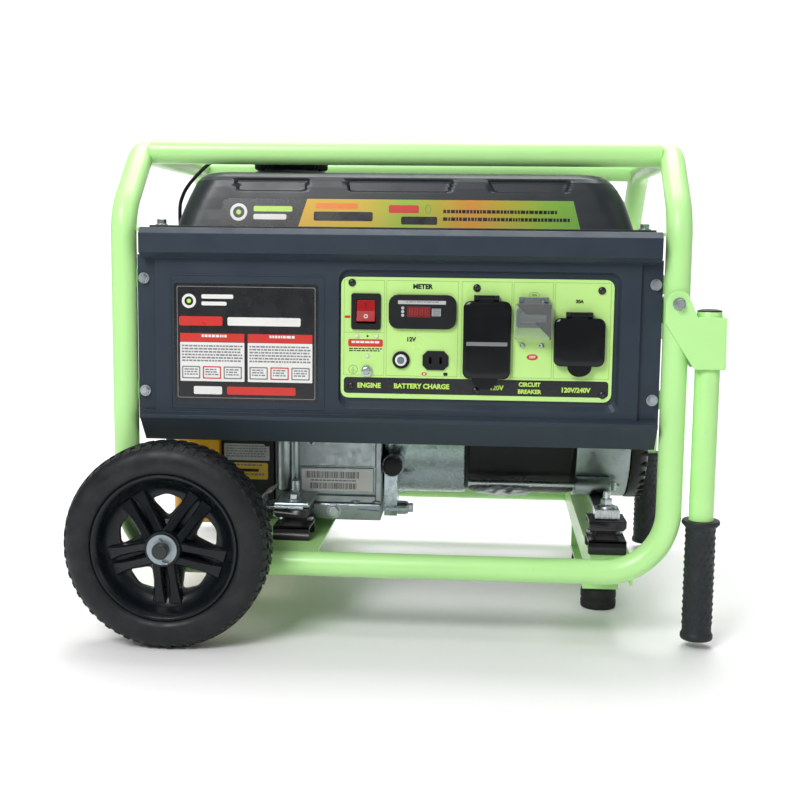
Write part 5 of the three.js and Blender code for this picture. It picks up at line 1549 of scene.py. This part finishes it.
def mount_hardware():
    """The bolts over the isolators, and the ribbed saddles under the alternator's arm."""
    hardware = Make()
    for _, side in SIDES:
        y = side * MOUNT_Y
        washer = [(0, 156), (11.6, 156), (12, 157), (10.6, 159), (8.6, 160), (0, 160)]
        hardware.lathe("z", washer, (MOUNT_X, y, 0), 36)
        hardware.hexagon("z", 13, (160, 168), (MOUNT_X, y, 0))
        hardware.bar("z", 4.4, (168, 176), (MOUNT_X, y, 0), 20)
        x, y = ENGINE_BOLT[0], side * ENGINE_BOLT[1]
        hardware.lathe("z", [(0, 151), (11, 151), (11, 152.6), (0, 152.6)], (x, y, 0), 32)
        hardware.hexagon("z", 13, (152.6, 160), (x, y, 0))
    hardware.done("engine_mount_bolts", ZINC, "machine", "zinc_steel", bevel=0.3)
    saddles = Make()
    for _, side in SIDES:
        y = side * MOUNT_Y
        saddles.block((MOUNT_X - 14, MOUNT_X + 14), (y - 14, y + 14), (144.6, 155.8))
        for k in range(-2, 3):
            x = (MOUNT_X - 1.7 + 6.6 * k, MOUNT_X + 1.7 + 6.6 * k)
            saddles.block(x, (y - 15.5, y + 15.5), (145, 156))
    saddles.done("alternator_mount_saddles", MACHINED, "machine", "cast_aluminium", ["alternator_end_bell"],
                 bevel=0.6)


def foil_sleeve():
    """The crumpled foil sleeve over the wires that run under the front lower tie rod."""
    _, y, z = TIE_RODS[2]
    rings = []
    for k in range(41):
        share = k / 40
        size = 1.5 + 7.5 * math.sin(math.pi * share) ** 0.7
        ring = []
        for u, v in circle(1, 24):
            crease = 0.35 * noise.noise(Vector((share * 9, u * 1.6, v * 1.6)))
            reach = size * (1 + crease)
            ring.append((94 + 76 * share, y + u * reach, z - 10.5 + 0.7 * v * reach))
        rings.append(ring)
    Make().skin(rings, caps=True).done("foil_sleeve", FOIL, "machine", "zinc_steel", smooth=18)


def mount_bracket():
    """The curled sheet bracket over the front left isolator."""
    bracket = Make()
    path = [(-157, 166), (-168, 160), (-172, 152), (-169, 146.4), (-160, 144.6), (-118, 144.4)]
    for (x0, z0), (x1, z1) in zip(path, path[1:]):
        normal = Vector((z0 - z1, x1 - x0)).normalized() * 1.3
        outline = [(x0 - normal.x, z0 - normal.y), (x1 - normal.x, z1 - normal.y),
                   (x1 + normal.x, z1 + normal.y), (x0 + normal.x, z0 + normal.y)]
        bracket.prism("y", outline, (-194, -150))
    bracket.done("engine_foot_bracket", ZINC, "machine", "zinc_steel", bevel=0.4)


def air_filter():
    """The air filter's lidded box with three slots."""
    layers = []
    for inset, y in ((0, 134), (0, 196), (-1.2, 197), (-1.2, 200), (0, 201), (0, 214), (3, 221), (9, 225.4),
                     (20, 226)):
        layers.append((y, *shrunk((-289, -186), (266, 394), inset), max(6, 16 - inset / 2)))
    make = Make().loft("y", layers, 8)
    for z in (290, 330, 370):
        make.prism("y", round_rect((-272, -203), (z - 5, z + 5), 4), (225, 226))
    make.done("air_filter_box", BLACK_PLASTIC, "machine", "black_plastic", ["air_filter"])


def muffler():
    """The muffler with its seam, inlet pipe and outlet spout."""
    layers = []
    for inset, x in ((20, 0), (8, 0.6), (2, 4), (0, 9), (0, 116), (-3, 117), (-3, 121), (0, 122), (0, 231),
                     (2, 236), (8, 239.4), (20, 240)):
        layers.append((x, *shrunk((120.5, 217.5), (262.5, 387.5), inset), 34 - inset / 2))
    make = Make().loft("x", layers, 10)
    make.tube([(-36, 180, 325), (5, 180, 325)], 12.8, 40)
    make.lathe("x", [(12, 223), (12, 263), (12.6, 264), (14.4, 264), (15, 263), (15, 236)], SPOUT, 48)
    make.lathe("x", [(15, 240), (18.5, 240), (18.5, 246), (15, 246)], SPOUT, 48)
    make.done("muffler_body", HOT_STEEL, "machine", "lamination_steel", ["muffler"])


def ignition_lead():
    route = [(-120, 205, 432), (-112, 176, 452), (-100, 140, 440), (-90, 100, 400), (-84, 84, 360)]
    Make().tube(spline(route), 3.4, 20).done("ignition_lead", RUBBER, "machine", "rubber")


fan_side()
starter_grip()
crankcase_details()
alternator()
mount_bracket()
air_filter()
muffler()
ignition_lead()
for NODE, MATERIAL, BEVEL in (
    ("crankcase", CAST, 2.4),
    ("cylinder", CAST, 0.7),
    ("choke_lever", ZINC, 0.5),
    ("rotor_shaft", DARK_STEEL, 0.6),
    ("muffler_guard", BLACK_PAINT, 0.5),
):
    dress(NODE, MATERIAL, BEVEL)


# ------------------------------------------------------------------ stage
FLOOR_FRONT, FLOOR_BACK = -4000, 2200
STAGE_HALF_WIDTH = 5000
COVE_R = 900
BACKDROP_TOP = 4500
WORLD_LIGHT = 0.22
LIGHTS = (  # name, place and aim in metres, size in metres, watts
    ("top", (0.1, 0.1, 2.1), (0.1, 0, 0), 1.5, 15),
    ("key", (-1.0, -2.3, 2.2), (0, 0, 0.3), 1.2, 62),
    ("fill", (2.4, -1.4, 1.2), (0, 0, 0.3), 1.2, 6),
    ("backdrop", (0, 1.2, 3.2), (0, 2.9, 0.4), 2.6, 110),
)


def build_floor():
    """A pale floor that curves up into a backdrop."""
    floor = Shader("studio_floor", (0.93, 0.93, 0.93), 0.6)
    floor.bump(floor.noise(60, 2), 0.05)
    profile = [(FLOOR_FRONT, 0), (FLOOR_BACK, 0)]
    for k in range(1, 16):
        angle = math.radians(6 * k)
        profile.append((FLOOR_BACK + COVE_R * math.sin(angle), COVE_R - COVE_R * math.cos(angle)))
    profile.append((FLOOR_BACK + COVE_R, BACKDROP_TOP))
    rings = [[(x, y, z) for y, z in profile] for x in (-STAGE_HALF_WIDTH, STAGE_HALF_WIDTH)]
    bm = bmesh.new()
    rows = [[bm.verts.new(Vector(point) * MM) for point in ring] for ring in rings]
    for k in range(len(profile) - 1):
        bm.faces.new((rows[0][k], rows[1][k], rows[1][k + 1], rows[0][k + 1]))
    mesh = bpy.data.meshes.new("studio")
    bm.to_mesh(mesh)
    bm.free()
    studio = bpy.data.objects.new("studio", mesh)
    bpy.context.scene.collection.objects.link(studio)
    mesh.materials.append(floor.material)
    mesh.shade_smooth()


def light_stage():
    """Soft studio light from area lights, over a faint even glow."""
    world = bpy.data.worlds.new("studio")
    world.use_nodes = True
    background = world.node_tree.nodes["Background"]
    background.inputs["Color"].default_value = (1, 1, 1, 1)
    background.inputs["Strength"].default_value = WORLD_LIGHT
    bpy.context.scene.world = world
    bpy.context.scene.view_settings.view_transform = "Standard"
    for name, place, aim, size, power in LIGHTS:
        light = bpy.data.objects.new(name, bpy.data.lights.new(name, "AREA"))
        light.data.size = size
        light.data.energy = power
        light.location = place
        light.rotation_mode = "QUATERNION"
        light.rotation_quaternion = (Vector(aim) - Vector(place)).to_track_quat("-Z", "Y")
        bpy.context.scene.collection.objects.link(light)


build_floor()
light_stage()
